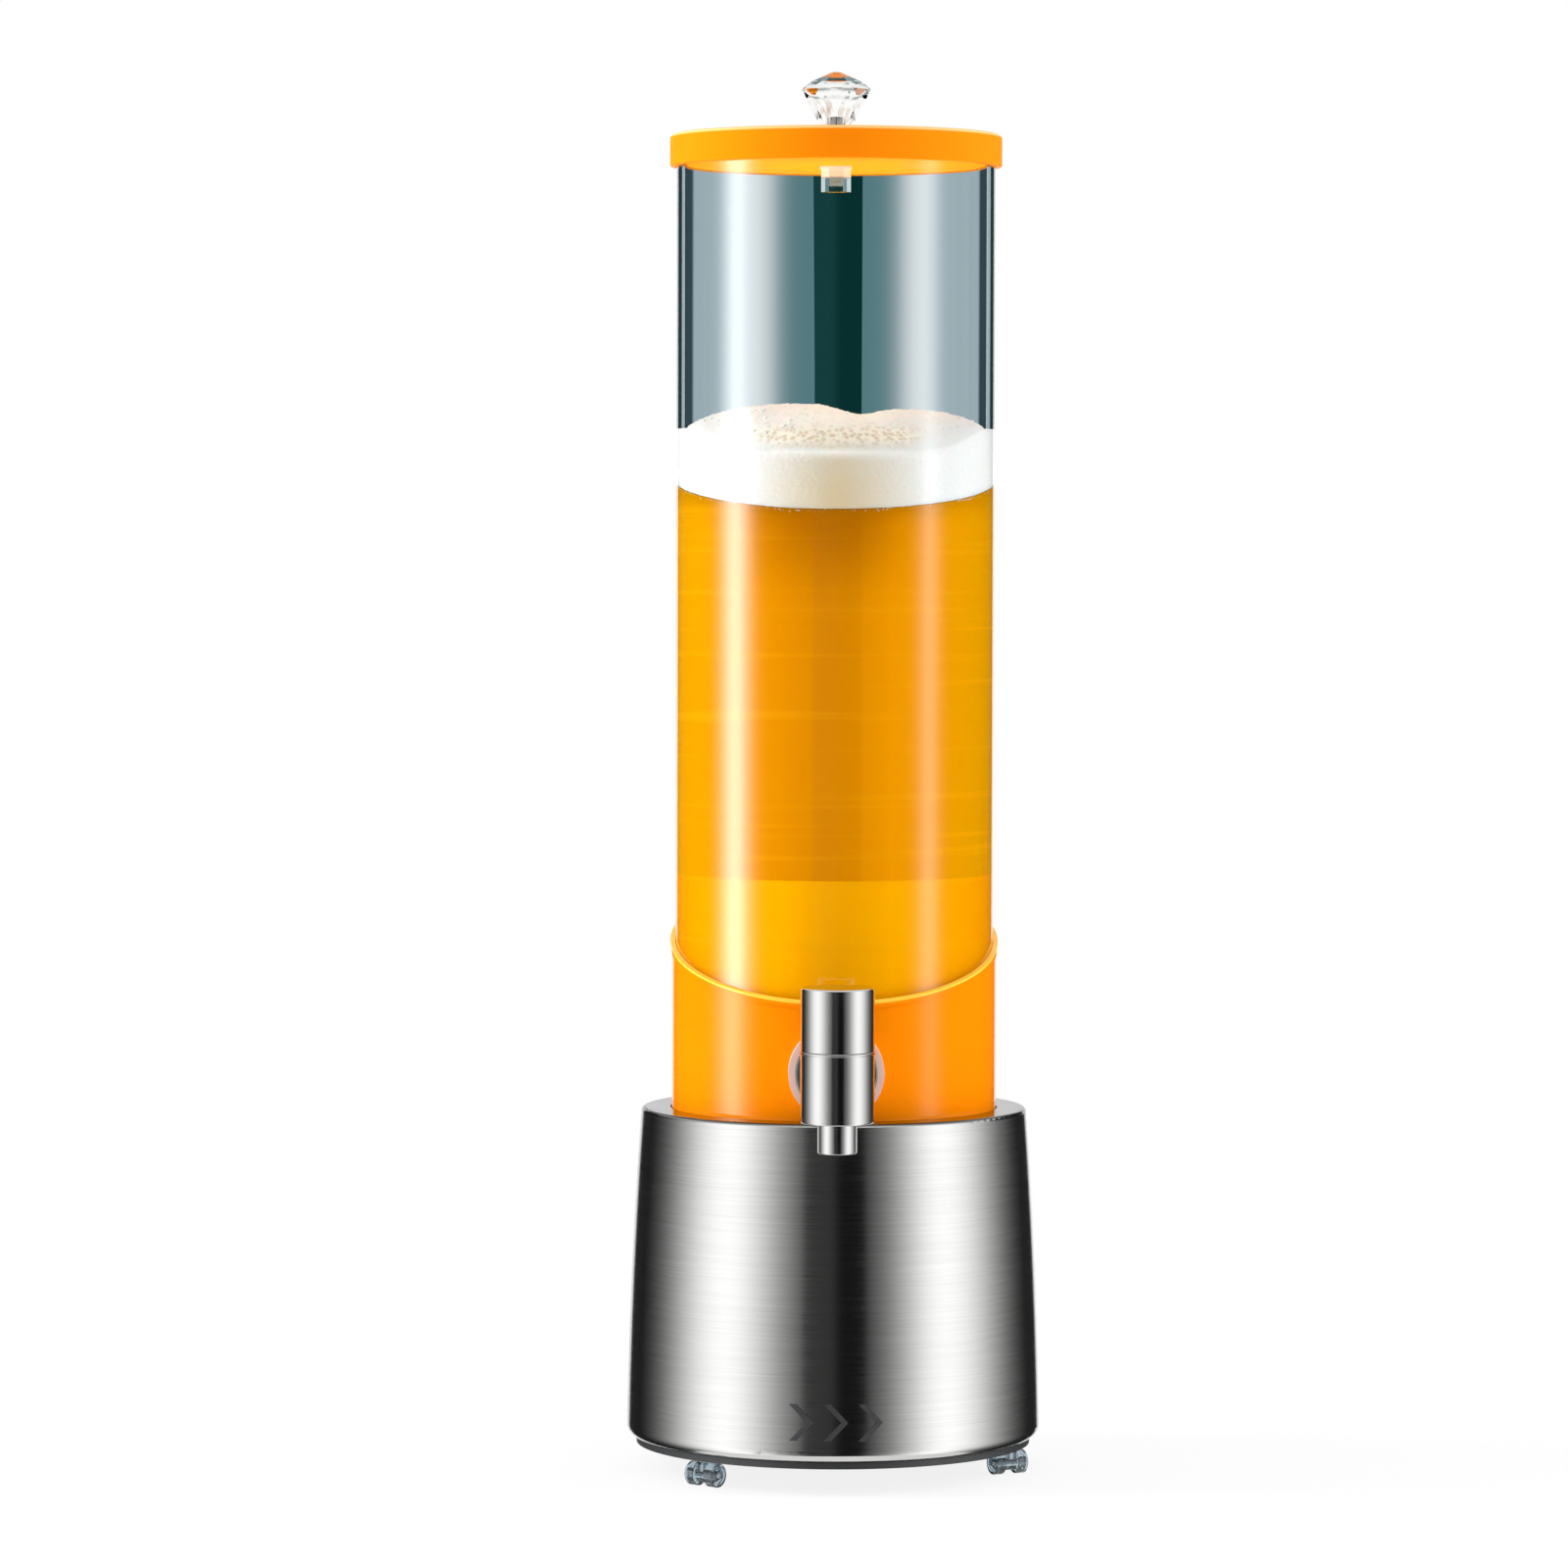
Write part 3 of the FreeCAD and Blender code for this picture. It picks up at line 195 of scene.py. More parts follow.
def brushed(name, tone, rough, around=True):
    """Steel brushed round the upright axis: long fine scratches and a stretched highlight."""
    t = new_tree(name)
    streaks = t.noise(1.0, 4.0, stretch=(38, 38, 1500))
    long_streaks = t.noise(1.0, 3.0, stretch=(9, 9, 700), shift=11.0)
    both = t.added(t.times(streaks, 0.6), t.times(long_streaks, 0.4))
    base = t.mixed(t.mapped(both, 0.3, 0.7, 0.0, 1.0), scaled(tone, 0.92), scaled(tone, 1.05))
    gloss = t.mapped(streaks, 0.3, 0.7, rough * 0.85, rough * 1.2)
    normal = t.bump(both, 0.03, 0.0001)
    tangent = t.add("Tangent", direction_type="RADIAL", axis="Z").outputs[0]
    sockets = {"Base_Color": base, "Roughness": gloss, "Normal": normal, "Metallic": 1.0}
    if around:
        sockets.update({"Anisotropic": 0.7, "Anisotropic_Rotation": 0.0, "Tangent": tangent})
    return t, sockets


def metal(name, tone, rough, scratch=0.02):
    """Plated or turned metal with faint smears and hairlines."""
    t = new_tree(name)
    smear = t.noise(45.0, 3.0)
    hair = t.noise(1.0, 3.0, stretch=(700, 700, 120), shift=2.0)
    base = t.mixed(smear, scaled(tone, 0.94), scaled(tone, 1.04))
    gloss = t.mapped(smear, 0.3, 0.7, rough * 0.8, rough * 1.25)
    normal = t.bump(hair, scratch, 0.0002)
    return t.end(t.principled(Base_Color=base, Roughness=gloss, Normal=normal, Metallic=1.0))


SHELL_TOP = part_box("base_shell")[1].z
BEER_LOW, BEER_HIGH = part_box("beer")
FOAM_LOW, FOAM_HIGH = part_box("foam_head")
TUBE_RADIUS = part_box("tube")[1].x
TUBE_WALL = 0.003
ACRYLIC_IOR = 1.49
NUT_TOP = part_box("knob_nut")[1].z
# Level of the knob's painted dark ring of reflections
KNOB_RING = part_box("crystal_knob")[1].z - 0.0072
LID_RADIUS, LID_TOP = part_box("lid_cap")[1].x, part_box("lid_cap")[1].z
LID_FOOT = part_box("lid_cap")[0].z

# The foam's rim at the wall: low over a stretch of the front, high at the sides and the back
FOAM_RIM_FRONT, FOAM_RIM_SIDE = 0.3842, 0.3930
RIM_RISE_FROM, RIM_RISE_TO = math.cos(math.radians(26)), math.cos(math.radians(72))

# The sleeve's oblique rim, as the level at the axis and its rise towards the back
SLEEVE_LOW, SLEEVE_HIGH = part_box("sleeve")
SLEEVE_RIM_FRONT = 0.181
RIM_SLOPE = (SLEEVE_HIGH.z - SLEEVE_RIM_FRONT) / (SLEEVE_HIGH.y - SLEEVE_LOW.y)
RIM_MIDDLE = (SLEEVE_HIGH.z + SLEEVE_RIM_FRONT) / 2
# Depth of the painted highlight band at the top of the sleeve's rim
BEAD_EDGE = 0.0011

# The levels between which the beer turns brighter towards its foot
BRIGHT_BELOW, BRIGHT_ABOVE = 0.2253, 0.2259


def steel_shell():
    """The base shell, whose flat top is painted darker than its polished side: a painted reflection of dark
    surroundings.
    """
    t, sockets = brushed("brushed_steel", colour(0.63, 0.63, 0.62), 0.12)
    height = t.split(t.place())[2]
    # painted reflection: the flat top is coloured near black, standing in for the dark surroundings it
    # reflects
    top = t.mapped(height, SHELL_TOP - 0.0012, SHELL_TOP - 0.0004, 0.0, 1.0)
    dark = t.mixed(t.noise(160.0, 3.0), colour(0.055, 0.062, 0.058), colour(0.085, 0.094, 0.088))
    sockets["Base_Color"] = t.mixed(top, sockets["Base_Color"], dark)
    return t.end(t.principled(**sockets))


def acrylic_tube():
    """Clear acrylic that mirrors on its outside. Where beer or foam wets the inside, that bends no light."""
    t = new_tree("clear_acrylic")
    x, y, z = t.split(t.place())
    draw_lines = t.noise(1.0, 2.0, stretch=(260, 260, 0.6))
    base = t.mixed(draw_lines, colour(0.90, 0.93, 0.935), colour(0.95, 0.97, 0.972))
    rough = t.mapped(draw_lines, 0.3, 0.7, 0.0, 0.0032)
    glass = t.principled(Base_Color=base, Roughness=rough, IOR=ACRYLIC_IOR, Transmission_Weight=1.0)
    passing = t.add("BsdfRefraction", {"Color": base, "Roughness": 0.0, "IOR": ACRYLIC_IOR}).outputs[0]
    mirrored = t.add("BsdfGlossy", {"Color": colour(0.46, 0.58, 0.60), "Roughness": 0.0}).outputs[0]
    total = t.math("GREATER_THAN", t.add("Fresnel", {"IOR": ACRYLIC_IOR}).outputs[0], 0.995)
    inside = t.shader(total, passing, mirrored)
    plain = t.add("BsdfTransparent", {"Color": colour(1, 1, 1)}).outputs[0]
    lit = t.add("BsdfTransparent", {"Color": colour(0.99, 0.995, 0.995)}).outputs[0]
    radius = t.math("SQRT", t.added(t.times(x, x), t.times(y, y)))
    inner = t.math("LESS_THAN", radius, TUBE_RADIUS - TUBE_WALL / 2)
    facing = t.math("DIVIDE", t.times(y, -1.0), radius)
    rim = t.mapped(facing, RIM_RISE_TO, RIM_RISE_FROM, FOAM_RIM_SIDE, FOAM_RIM_FRONT, smooth=True)
    wet = t.times(inner, t.math("LESS_THAN", z, rim))
    back = t.add("NewGeometry").outputs["Backfacing"]
    dry = t.shader(t.math("MAXIMUM", inner, back), glass, inside)
    return t.end(t.shader(t.rays(*LIT_THROUGH), t.shader(wet, dry, plain), lit))


def orange(name, low, high, rough, specular):
    """Glossy orange plastic with faint flow marks, a painted highlight along the lid's top edge and another
    along the sleeve's rim.
    """
    t = new_tree(name)
    x, y, z = t.split(t.place())
    base = t.mixed(t.noise(26.0, 3.0), low, high)
    radius = t.math("SQRT", t.added(t.times(x, x), t.times(y, y)))
    # painted highlight: a pale band round the lid's top outer edge
    outer = t.mapped(radius, LID_RADIUS - 0.0014, LID_RADIUS - 0.0006, 0.0, 0.9)
    painted_lid_edge_highlight = t.times(t.mapped(z, LID_TOP - 0.0014, LID_TOP - 0.0008, 0.0, 1.0), outer)
    base = t.mixed(painted_lid_edge_highlight, base, colour(1.0, 0.66, 0.24))
    # painted highlight: a pale yellow band along the top of the sleeve's oblique rim
    rim = t.added(t.times(y, RIM_SLOPE), RIM_MIDDLE - BEAD_EDGE)
    above = t.math("SUBTRACT", z, rim)
    painted_rim_highlight = t.times(t.mapped(above, 0.0, 0.0003, 0.0, 1.0), t.math("LESS_THAN", above, 0.01))
    base = t.mixed(painted_rim_highlight, base, colour(1.0, 0.60, 0.06))
    gloss = t.mapped(t.noise(70.0, 3.0, shift=4.0), 0.3, 0.7, rough * 0.8, rough * 1.3)
    normal = t.bump(t.noise(14.0, 2.0, shift=9.0), 0.05, 0.001)
    sockets = {"Base_Color": base, "Roughness": gloss, "Normal": normal}
    sockets.update({"Specular IOR Level": specular, "Specular Tint": colour(1.0, 0.92, 0.70)})
    return t.end(t.principled(Subsurface_Weight=0.12, Subsurface_Scale=0.002, **sockets))


def beer_liquid():
    """Golden beer, with painted shadow just under the foam, painted light and shade across it, a faint
    painted dark strip down its middle, and brighter towards the foot.
    """
    t = new_tree("beer")
    x, y, z = t.split(t.place())
    # painted shadow of the foam: the beer darkens just under it, by height
    depth = t.mapped(z, BEER_HIGH.z - 0.045, BEER_HIGH.z - 0.004, 0.0, 1.0, smooth=True)
    foot = t.mapped(z, BRIGHT_BELOW, BRIGHT_ABOVE, 1.0, 0.0, smooth=True)
    haze = t.noise(22.0, 3.0, stretch=(1, 1, 0.35))
    aside = t.math("ABSOLUTE", t.math("ADD", x, 0.004))
    # painted light and shade: colour zones across the beer, lighter on the right where the lamp is weaker
    # and darker towards both edges where the lamps are stronger
    painted_edge_shade = t.mapped(t.math("ABSOLUTE", x), 0.020, BEER_HIGH.x, 0.0, 1.0)
    painted_right_share = t.mapped(x, -0.02, 0.02, 0.0, 1.0)
    # painted reflection: a faint dark upright strip down the middle, for the dark gap between the lamps
    middle = t.mapped(t.math("ABSOLUTE", x), 0.0084, 0.0094, 0.14, 0.0)
    painted_inner_tone = t.mixed(haze, colour(0.71, 0.24, 0.0004), colour(0.76, 0.26, 0.0005))
    painted_right_light = t.mixed(haze, colour(0.83, 0.295, 0.0004), colour(0.88, 0.315, 0.0005))
    painted_inner_tone = t.mixed(painted_right_share, painted_inner_tone, painted_right_light)
    base = t.mixed(painted_edge_shade, painted_inner_tone, colour(0.61, 0.262, 0.0004))
    bright = t.mixed(painted_edge_shade, colour(1.0, 0.41, 0.0004), colour(0.74, 0.26, 0.0004))
    base = t.mixed(middle, base, colour(0.45, 0.11, 0.0004))
    base = t.mixed(foot, base, bright)
    layers = t.noise(1.0, 2.0, stretch=(7, 7, 300), shift=8.0)
    base = t.mixed(t.mapped(layers, 0.58, 0.72, 0.0, 0.3), base, colour(0.90, 0.38, 0.004))
    # painted shadow of the foam, strongest near the middle of its width
    under = t.mapped(aside, 0.008, 0.044, 0.75, 0.0, smooth=True)
    base = t.mixed(t.times(depth, under), base, colour(0.40, 0.115, 0.0004))
    beads = t.mapped(t.cells(420.0), 0.0, 0.16, 1.0, 0.0)
    sparse = t.times(beads, t.mapped(t.noise(60.0, 1.0, shift=6.0), 0.56, 0.64, 0.0, 1.0))
    base = t.mixed(t.times(sparse, 0.3), base, colour(1.0, 0.62, 0.12))
    sockets = {"Base_Color": base, "Roughness": 0.5, "Specular IOR Level": 0.0}
    return t.end(t.principled(Subsurface_Weight=0.2, Subsurface_Scale=0.005, **sockets))


def beer_foam():
    """Creamy foam: fine bubbles, warmer near the beer and in the hollow of its top, and paler towards both
    sides as a painted highlight.
    """
    t = new_tree("foam")
    x, y, z = t.split(t.place())
    fine = t.cells(1500.0)
    coarse = t.cells(520.0)
    low = t.mapped(z, FOAM_LOW.z, FOAM_LOW.z + 0.016, 1.0, 0.0, smooth=True)
    cloud = t.noise(60.0, 4.0)
    # painted highlight: the foam turns pale grey-white towards both sides
    side = t.mapped(t.math("ABSOLUTE", x), 0.001, 0.034, 0.0, 1.0)
    middle = t.mixed(cloud, colour(0.68, 0.575, 0.42), colour(0.77, 0.665, 0.50))
    middle = t.mixed(t.times(low, 0.7), middle, colour(0.74, 0.57, 0.33))
    rim = t.bell(z, FOAM_RIM_FRONT, 0.0022, 0.0014, 1.0)
    middle = t.mixed(t.times(rim, 0.9), middle, colour(0.97, 0.93, 0.87))
    top = t.mapped(z, FOAM_RIM_FRONT + 0.001, FOAM_RIM_FRONT + 0.003, 0.0, 1.0)
    speckled = t.mixed(t.mapped(coarse, 0.2, 0.65, 0.0, 1.0), colour(0.66, 0.53, 0.38),
                       colour(0.94, 0.86, 0.72))
    middle = t.mixed(t.times(top, 0.6), middle, colour(0.93, 0.87, 0.77))
    crown = t.mapped(z, FOAM_HIGH.z - 0.012, FOAM_HIGH.z - 0.005, 0.0, 0.9, smooth=True)
    middle = t.mixed(crown, middle, colour(0.93, 0.90, 0.85))
    base = t.mixed(side, middle, colour(0.75, 0.75, 0.74))
    hollow = t.times(t.bell(z, FOAM_RIM_FRONT + 0.0055, 0.003, 0.004, 0.9), t.math("LESS_THAN", y, 0.0))
    hollow = t.times(hollow, t.mapped(t.math("ABSOLUTE", x), 0.022, 0.034, 1.0, 0.0, smooth=True))
    base = t.mixed(hollow, base, speckled)
    speck = t.mapped(coarse, 0.0, 0.35, 0.25, 0.0)
    base = t.mixed(speck, base, colour(0.76, 0.62, 0.42))
    normal = t.bump(coarse, 0.25, 0.0006, t.bump(fine, 0.2, 0.0003))
    sockets = {"Base_Color": base, "Roughness": 0.6, "Normal": normal, "Specular IOR Level": 0.0}
    return t.end(t.principled(Subsurface_Weight=0.3, Subsurface_Scale=0.003, **sockets))


def frosted_nut():
    """The clear nut under the lid, milky peach in its upper part."""
    t = new_tree("knob_nut")
    z = t.split(t.place())[2]
    milky = t.mapped(z, NUT_TOP - 0.0034, NUT_TOP - 0.0026, 0.0, 1.0)
    cloud = t.noise(300.0, 2.0)
    tone = t.mixed(cloud, colour(0.95, 0.72, 0.55), colour(1.0, 0.86, 0.72))
    peach = t.principled(Base_Color=tone, Roughness=0.4, **{"Specular IOR Level": 0.1})
    base = t.mixed(cloud, colour(0.70, 0.79, 0.76), colour(0.84, 0.90, 0.87))
    glass = t.principled(Base_Color=base, Roughness=0.05, IOR=1.12, Transmission_Weight=1.0)
    lit = t.add("BsdfTransparent", {"Color": colour(0.93, 0.95, 0.95)}).outputs[0]
    return t.end(t.shader(milky, t.shader(t.rays(*LIT_THROUGH), glass, lit), peach))


def cut_crystal():
    """Clear crystal with painted reflections: grey-green along its outline, a dark ring under the crown and
    warm brown strokes low down.
    """
    t = new_tree("crystal")
    z = t.split(t.place())[2]
    # painted reflection: grey-green where the surface turns away towards the outline
    outline = t.mapped(t.add("LayerWeight", {"Blend": 0.5}).outputs["Facing"], 0.35, 0.85, 0.0, 0.8)
    # painted reflection: a patchy dark ring just under the crown
    ring = t.bell(z, KNOB_RING, 0.0007, 0.0007, 1.0)
    patchy = t.mapped(t.noise(240.0, 2.0), 0.42, 0.52, 0.3, 1.0)
    # painted reflection: warm brown strokes in the knob's lower part
    painted_warm_reflections = t.mapped(t.noise(1.0, 1.0, stretch=(420, 420, 130), shift=4.0), 0.54, 0.62, 0.0, 1.0)
    lower = t.mapped(z, KNOB_RING - 0.005, KNOB_RING - 0.003, 0.8, 0.0)
    base = t.mixed(t.noise(30.0, 2.0), colour(0.97, 0.98, 0.96), colour(0.99, 0.995, 0.98))
    base = t.mixed(t.times(painted_warm_reflections, lower), base, colour(0.60, 0.42, 0.30))
    base = t.mixed(t.times(ring, patchy), base, colour(0.10, 0.14, 0.14))
    base = t.mixed(outline, base, colour(0.50, 0.60, 0.57))
    gloss = t.mapped(t.noise(200.0, 2.0, shift=5.0), 0.35, 0.7, 0.004, 0.02)
    glass = t.principled(Base_Color=base, Roughness=gloss, IOR=1.16, Transmission_Weight=1.0)
    lit = t.add("BsdfTransparent", {"Color": colour(0.93, 0.95, 0.95)}).outputs[0]
    return t.end(t.shader(t.rays(*LIT_THROUGH), glass, lit))


steel_tree, steel_sockets = brushed("fastener_steel", colour(0.58, 0.58, 0.58), 0.28, around=False)
FINISH = {
    "clear_acrylic": acrylic_tube(),
    "orange_plastic": orange("orange_plastic", colour(0.97, 0.235, 0.001), colour(0.995, 0.26, 0.002),
                             0.0025, 0.22),
    "beer": beer_liquid(),
    "foam": beer_foam(),
    "brushed_steel": steel_shell(),
    "chrome": metal("chrome", colour(0.60, 0.60, 0.595), 0.14),
    "fastener_steel": steel_tree.end(steel_tree.principled(**steel_sockets)),
    "black_plastic": moulded("black_plastic", colour(0.035, 0.036, 0.038), 0.42, depth=0.12),
    "weight_iron": moulded("weight_iron", colour(0.13, 0.13, 0.135), 0.6, 400.0, 0.35, 0.15),
    "pale_silicone": moulded("pale_silicone", colour(0.97, 0.66, 0.58), 0.5,
                             Subsurface_Weight=0.3, Subsurface_Scale=0.002, Specular_IOR_Level=0.1),
    "dark_rubber": moulded("dark_rubber", colour(0.03, 0.03, 0.031), 0.5),
    "crystal": cut_crystal(),
    "caster_plastic": clear("caster_plastic", colour(0.50, 0.60, 0.66), 0.12, 1.49, 0.15),
    "mark_grey": moulded("mark_grey", colour(0.05, 0.05, 0.053), 0.22, 1500.0, 0.1, 0.2),
    "valve_brass": metal("valve_brass", colour(0.74, 0.55, 0.27), 0.22),
}

FROSTED = frosted_nut()

# Nodes whose surface differs from the rest of their slot
OWN_FINISH = {
    # painted light: the plug is a lighter, yellower copy of the orange plastic, to brighten its shaded
    # underside
    "lid_plug": orange("lid_plug", colour(0.98, 0.37, 0.002), colour(1.0, 0.40, 0.003), 0.5, 0.02),
    "lid_cap": orange("lid_cap", colour(0.97, 0.235, 0.001), colour(0.995, 0.26, 0.002), 0.4, 0.03),
    "knob_nut": FROSTED,
    "knob_washer": FROSTED,
    "tap_shank": metal("tap_shank", colour(0.21, 0.235, 0.22), 0.25),
}

for node, piece in NODES.items():
    piece.data.materials.clear()
    piece.data.materials.append(OWN_FINISH.get(node) or FINISH[SLOT_OF[node]])


# Beer and foam

def mesh_piece(name, slot, vertices, faces, body="tower"):
    data = bpy.data.meshes.new(name)
    data.from_pydata(vertices, [], faces)
    data.validate()
    data.shade_smooth()
    data.materials.append(FINISH[slot])
    piece = bpy.data.objects.new(name, data)
    bpy.context.scene.collection.objects.link(piece)
    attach(piece, body)
    return piece


def rings_solid(rings, around):
    """A closed skin of rings of points, drawn together to one point at each end."""
    vertices = [point for ring in rings for point in ring]
    faces = []
    for row in range(len(rings) - 1):
        for column in range(around):
            following = (column + 1) % around
            a, b = row * around, (row + 1) * around
            faces.append((a + column, a + following, b + following, b + column))
    for row, order in ((0, -1), (len(rings) - 1, 1)):
        middle = [sum(axis) / around for axis in zip(*rings[row])]
        vertices.append(tuple(middle))
        for column in range(around):
            pair = (row * around + column, row * around + (column + 1) % around)
            faces.append((len(vertices) - 1, *pair[::order]))
    return vertices, faces


AROUND = 192
BEER_RADIUS = BEER_HIGH.x
FOAM_RADIUS = FOAM_HIGH.x
FOAM_CROWN = 0.4003
CREEP = 0.0012
EDGE_ROUND = 0.0006
LINE_BUBBLES, CROWN_BUBBLES = 260, 520
BALL_AROUND, BALL_ROWS = 8, 5


def circle(radius, level):
    """A ring of points; level is a height or a function of the angle."""
    ring = []
    for step in range(AROUND):
        angle = TURN * step / AROUND
        height = level(angle) if callable(level) else level
        ring.append((radius * math.cos(angle), radius * math.sin(angle), height))
    return ring


def beer_line(angle):
    """Where foam and beer meet at the wall, a little uneven."""
    ripple = noise.noise((3 * math.cos(angle), 3 * math.sin(angle), 0.4))
    ahead = -math.sin(angle)
    front = (ahead + math.hypot(ahead, 0.12)) / 2
    return BEER_HIGH.z + 0.0050 - 0.0103 * front + 0.0002 * ripple


def make_beer():
    low = BEER_LOW.z
    rings = [
        circle(BEER_RADIUS * 0.5, low), circle(BEER_RADIUS - EDGE_ROUND, low),
        circle(BEER_RADIUS, low + EDGE_ROUND),
    ]
    steps = 24
    for step in range(1, steps):
        rings.append(circle(BEER_RADIUS, low + (BEER_HIGH.z - 0.003 - low) * step / steps))
    rings += [
        circle(BEER_RADIUS, beer_line),
        circle(BEER_RADIUS - CREEP, lambda angle: beer_line(angle) - 0.0003),
        circle(BEER_RADIUS * 0.5, BEER_HIGH.z - 0.0012),
    ]
    return mesh_piece("beer_liquid", "beer", *rings_solid(rings, AROUND))


def foam_rim(angle):
    """The foam's height at the wall: low and level at the front, higher at the sides and the back."""
    share = (RIM_RISE_FROM + math.sin(angle)) / (RIM_RISE_FROM - RIM_RISE_TO)
    share = min(1.0, max(0.0, share))
    return FOAM_RIM_FRONT + (FOAM_RIM_SIDE - FOAM_RIM_FRONT) * share * share * (3 - 2 * share)


def foam_top(x, y):
    """The foam's height: a soft crown with a swell left of the middle and a dip right of it."""
    radius = math.hypot(x, y)
    share = min(1.0, radius / FOAM_RADIUS)
    rim = foam_rim(math.atan2(y, x))
    swell = 0.0022 * math.exp(-((x + 0.020) / 0.022) ** 2)
    dip = 0.0028 * math.exp(-((x - 0.009) / 0.008) ** 2)
    dent = 0.0014 * math.exp(-((x / 0.026) ** 2 + ((y + 0.034) / 0.010) ** 2))
    height = rim + (FOAM_CROWN - rim) * (1 - share ** 5.5) + (swell - dip) * (1 - share ** 2) - dent
    rough = 0.0004 * noise.fractal((140 * x, 140 * y, 0.3), 0.6, 2.0, 4)
    return height + rough * (1 - share ** 6)


def make_foam():
    rings = [circle(FOAM_RADIUS * 0.5, BEER_HIGH.z - 0.0008),
             circle(FOAM_RADIUS - CREEP, lambda angle: beer_line(angle) + 0.0001),
             circle(FOAM_RADIUS, lambda angle: beer_line(angle) + 0.0002)]
    wall_steps = 8
    for step in range(1, wall_steps):
        share = step / wall_steps

        def level(angle, share=share):
            foot = beer_line(angle) + 0.0002
            return foot + (foam_rim(angle) - 0.0012 - foot) * share
        rings.append(circle(FOAM_RADIUS, level))
    rings.append(circle(FOAM_RADIUS, lambda angle: foam_rim(angle) - 0.0012))
    rings.append(circle(FOAM_RADIUS - 0.0005, lambda angle: foam_rim(angle) - 0.0003))
    top_steps = 46
    for step in range(1, top_steps):
        radius = (FOAM_RADIUS - 0.0005) * (1 - step / top_steps)

        def level(angle, radius=radius):
            return foam_top(radius * math.cos(angle), radius * math.sin(angle))
        rings.append(circle(radius, level))
    return mesh_piece("foam_cap", "foam", *rings_solid(rings, AROUND))


def ball(centre, radius, flat=1.0):
    """A small sphere, flattened upright by flat."""
    rings = []
    for row in range(1, BALL_ROWS):
        polar = math.pi * row / BALL_ROWS
        ring = []
        for step in range(BALL_AROUND):
            angle = TURN * step / BALL_AROUND
            ring.append((
                centre[0] + radius * math.sin(polar) * math.cos(angle),
                centre[1] + radius * math.sin(polar) * math.sin(angle),
                centre[2] - flat * radius * math.cos(polar),
            ))
        rings.append(ring)
    return rings_solid(rings, BALL_AROUND)


def joined(parts):
    vertices, faces = [], []
    for part_vertices, part_faces in parts:
        start = len(vertices)
        vertices += part_vertices
        faces += [tuple(start + index for index in face) for face in part_faces]
    return vertices, faces


def make_bubbles():
    """Bubbles at the beer line against the wall, and larger ones on the foam's crown."""
    chance = random.Random(11)
    parts = []
    for _ in range(LINE_BUBBLES):
        angle = chance.uniform(0, TURN)
        radius = chance.uniform(0.00015, 0.0004)
        away = BEER_RADIUS - radius * 0.75
        level = beer_line(angle) + chance.uniform(-0.0011, 0.0002)
        parts.append(ball((away * math.cos(angle), away * math.sin(angle), level), radius))
    for _ in range(CROWN_BUBBLES):
        angle = chance.uniform(0, TURN)
        away = FOAM_RADIUS * math.sqrt(chance.uniform(0.0, 0.86))
        radius = chance.uniform(0.0003, 0.0009)
        x, y = away * math.cos(angle), away * math.sin(angle)
        level = foam_top(x, y) - radius * 0.45
        parts.append(ball((x, y, level), radius))
    return mesh_piece("foam_bubbles", "foam", *joined(parts))


beer = make_beer()
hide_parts("beer")
foam = make_foam()
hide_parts("foam_head")
bubbles = make_bubbles()


# Studio

FOCAL_PIXELS = 6350.0
FRAME_PIXELS = 1600.0
SENSOR_MM = 36.0
CAMERA_PLACE = (-0.0365, -2.3495, 0.360)
TILT_DOWN, HEADING, ROLL = 2.46, -0.425, 0.13
LAMP_AWAY, LAMP_AIM = 1.5, 0.25
LAMPS = (
    ("lamp_left", -86, 0.7, (0.6, 1.4), 28.5),
    ("lamp_right", 84, 0.7, (0.5, 1.4), 17.0),
)
SOFT_LIGHT = 0.74
LOW_LAMP_SIZE, LOW_LAMP_WATTS, LOW_LAMP_DROP = 0.09, 0.03, 0.05
FLOOR_HALF = 8.0
SHADOW_NEAR, SHADOW_FAR = 0.25, 1.2
TENT_RADIUS, TENT_HEIGHT = 2.05, 2.3
TENT_LIMIT, TENT_STEPS = 160, 160

# What gloss shows of the studio, by the angle from the front: middle, widths on both sides, peak.
# Mirror-smooth surfaces show the tall lamps, and duller ones the soft screens.
TALL_LAMPS = ((-76, 12, 11, 12.5), (70, 9, 9, 3.2))
SOFT_SCREENS = ((-63, 34, 30, 1.62), (64, 27, 35, 1.6))
CARD_TOPS = (0.9, 1.4)
FRONT_CARD = (-17.5, 17.5)
FRONT_CARD_TONES = (0.05, 0.008)
SIDE_CARDS_FROM = 139
SIDE_CARD_TONE = 0.02


def studio_floor():
    """Pale floor: white in the picture and in reflections, and darker in the object's shadow."""
    t = new_tree("studio_floor")
    place = t.place()
    far = t.mapped(t.add("VectorMath", {0: place}, operation="LENGTH").outputs["Value"],
                   SHADOW_NEAR, SHADOW_FAR, 0.85, 1.0, smooth=True)
    tone = t.mixed(t.noise(3.0, 2.0), colour(0.90, 0.90, 0.90), colour(0.93, 0.93, 0.93))
    matte = t.add("BsdfDiffuse", {"Color": tone}).outputs[0]
    white = t.add("Emission", {"Color": colour(1, 1, 1), "Strength": 1.0}).outputs[0]
    return t.end(t.shader(t.times(far, t.rays(*SEEN)), matte, white))


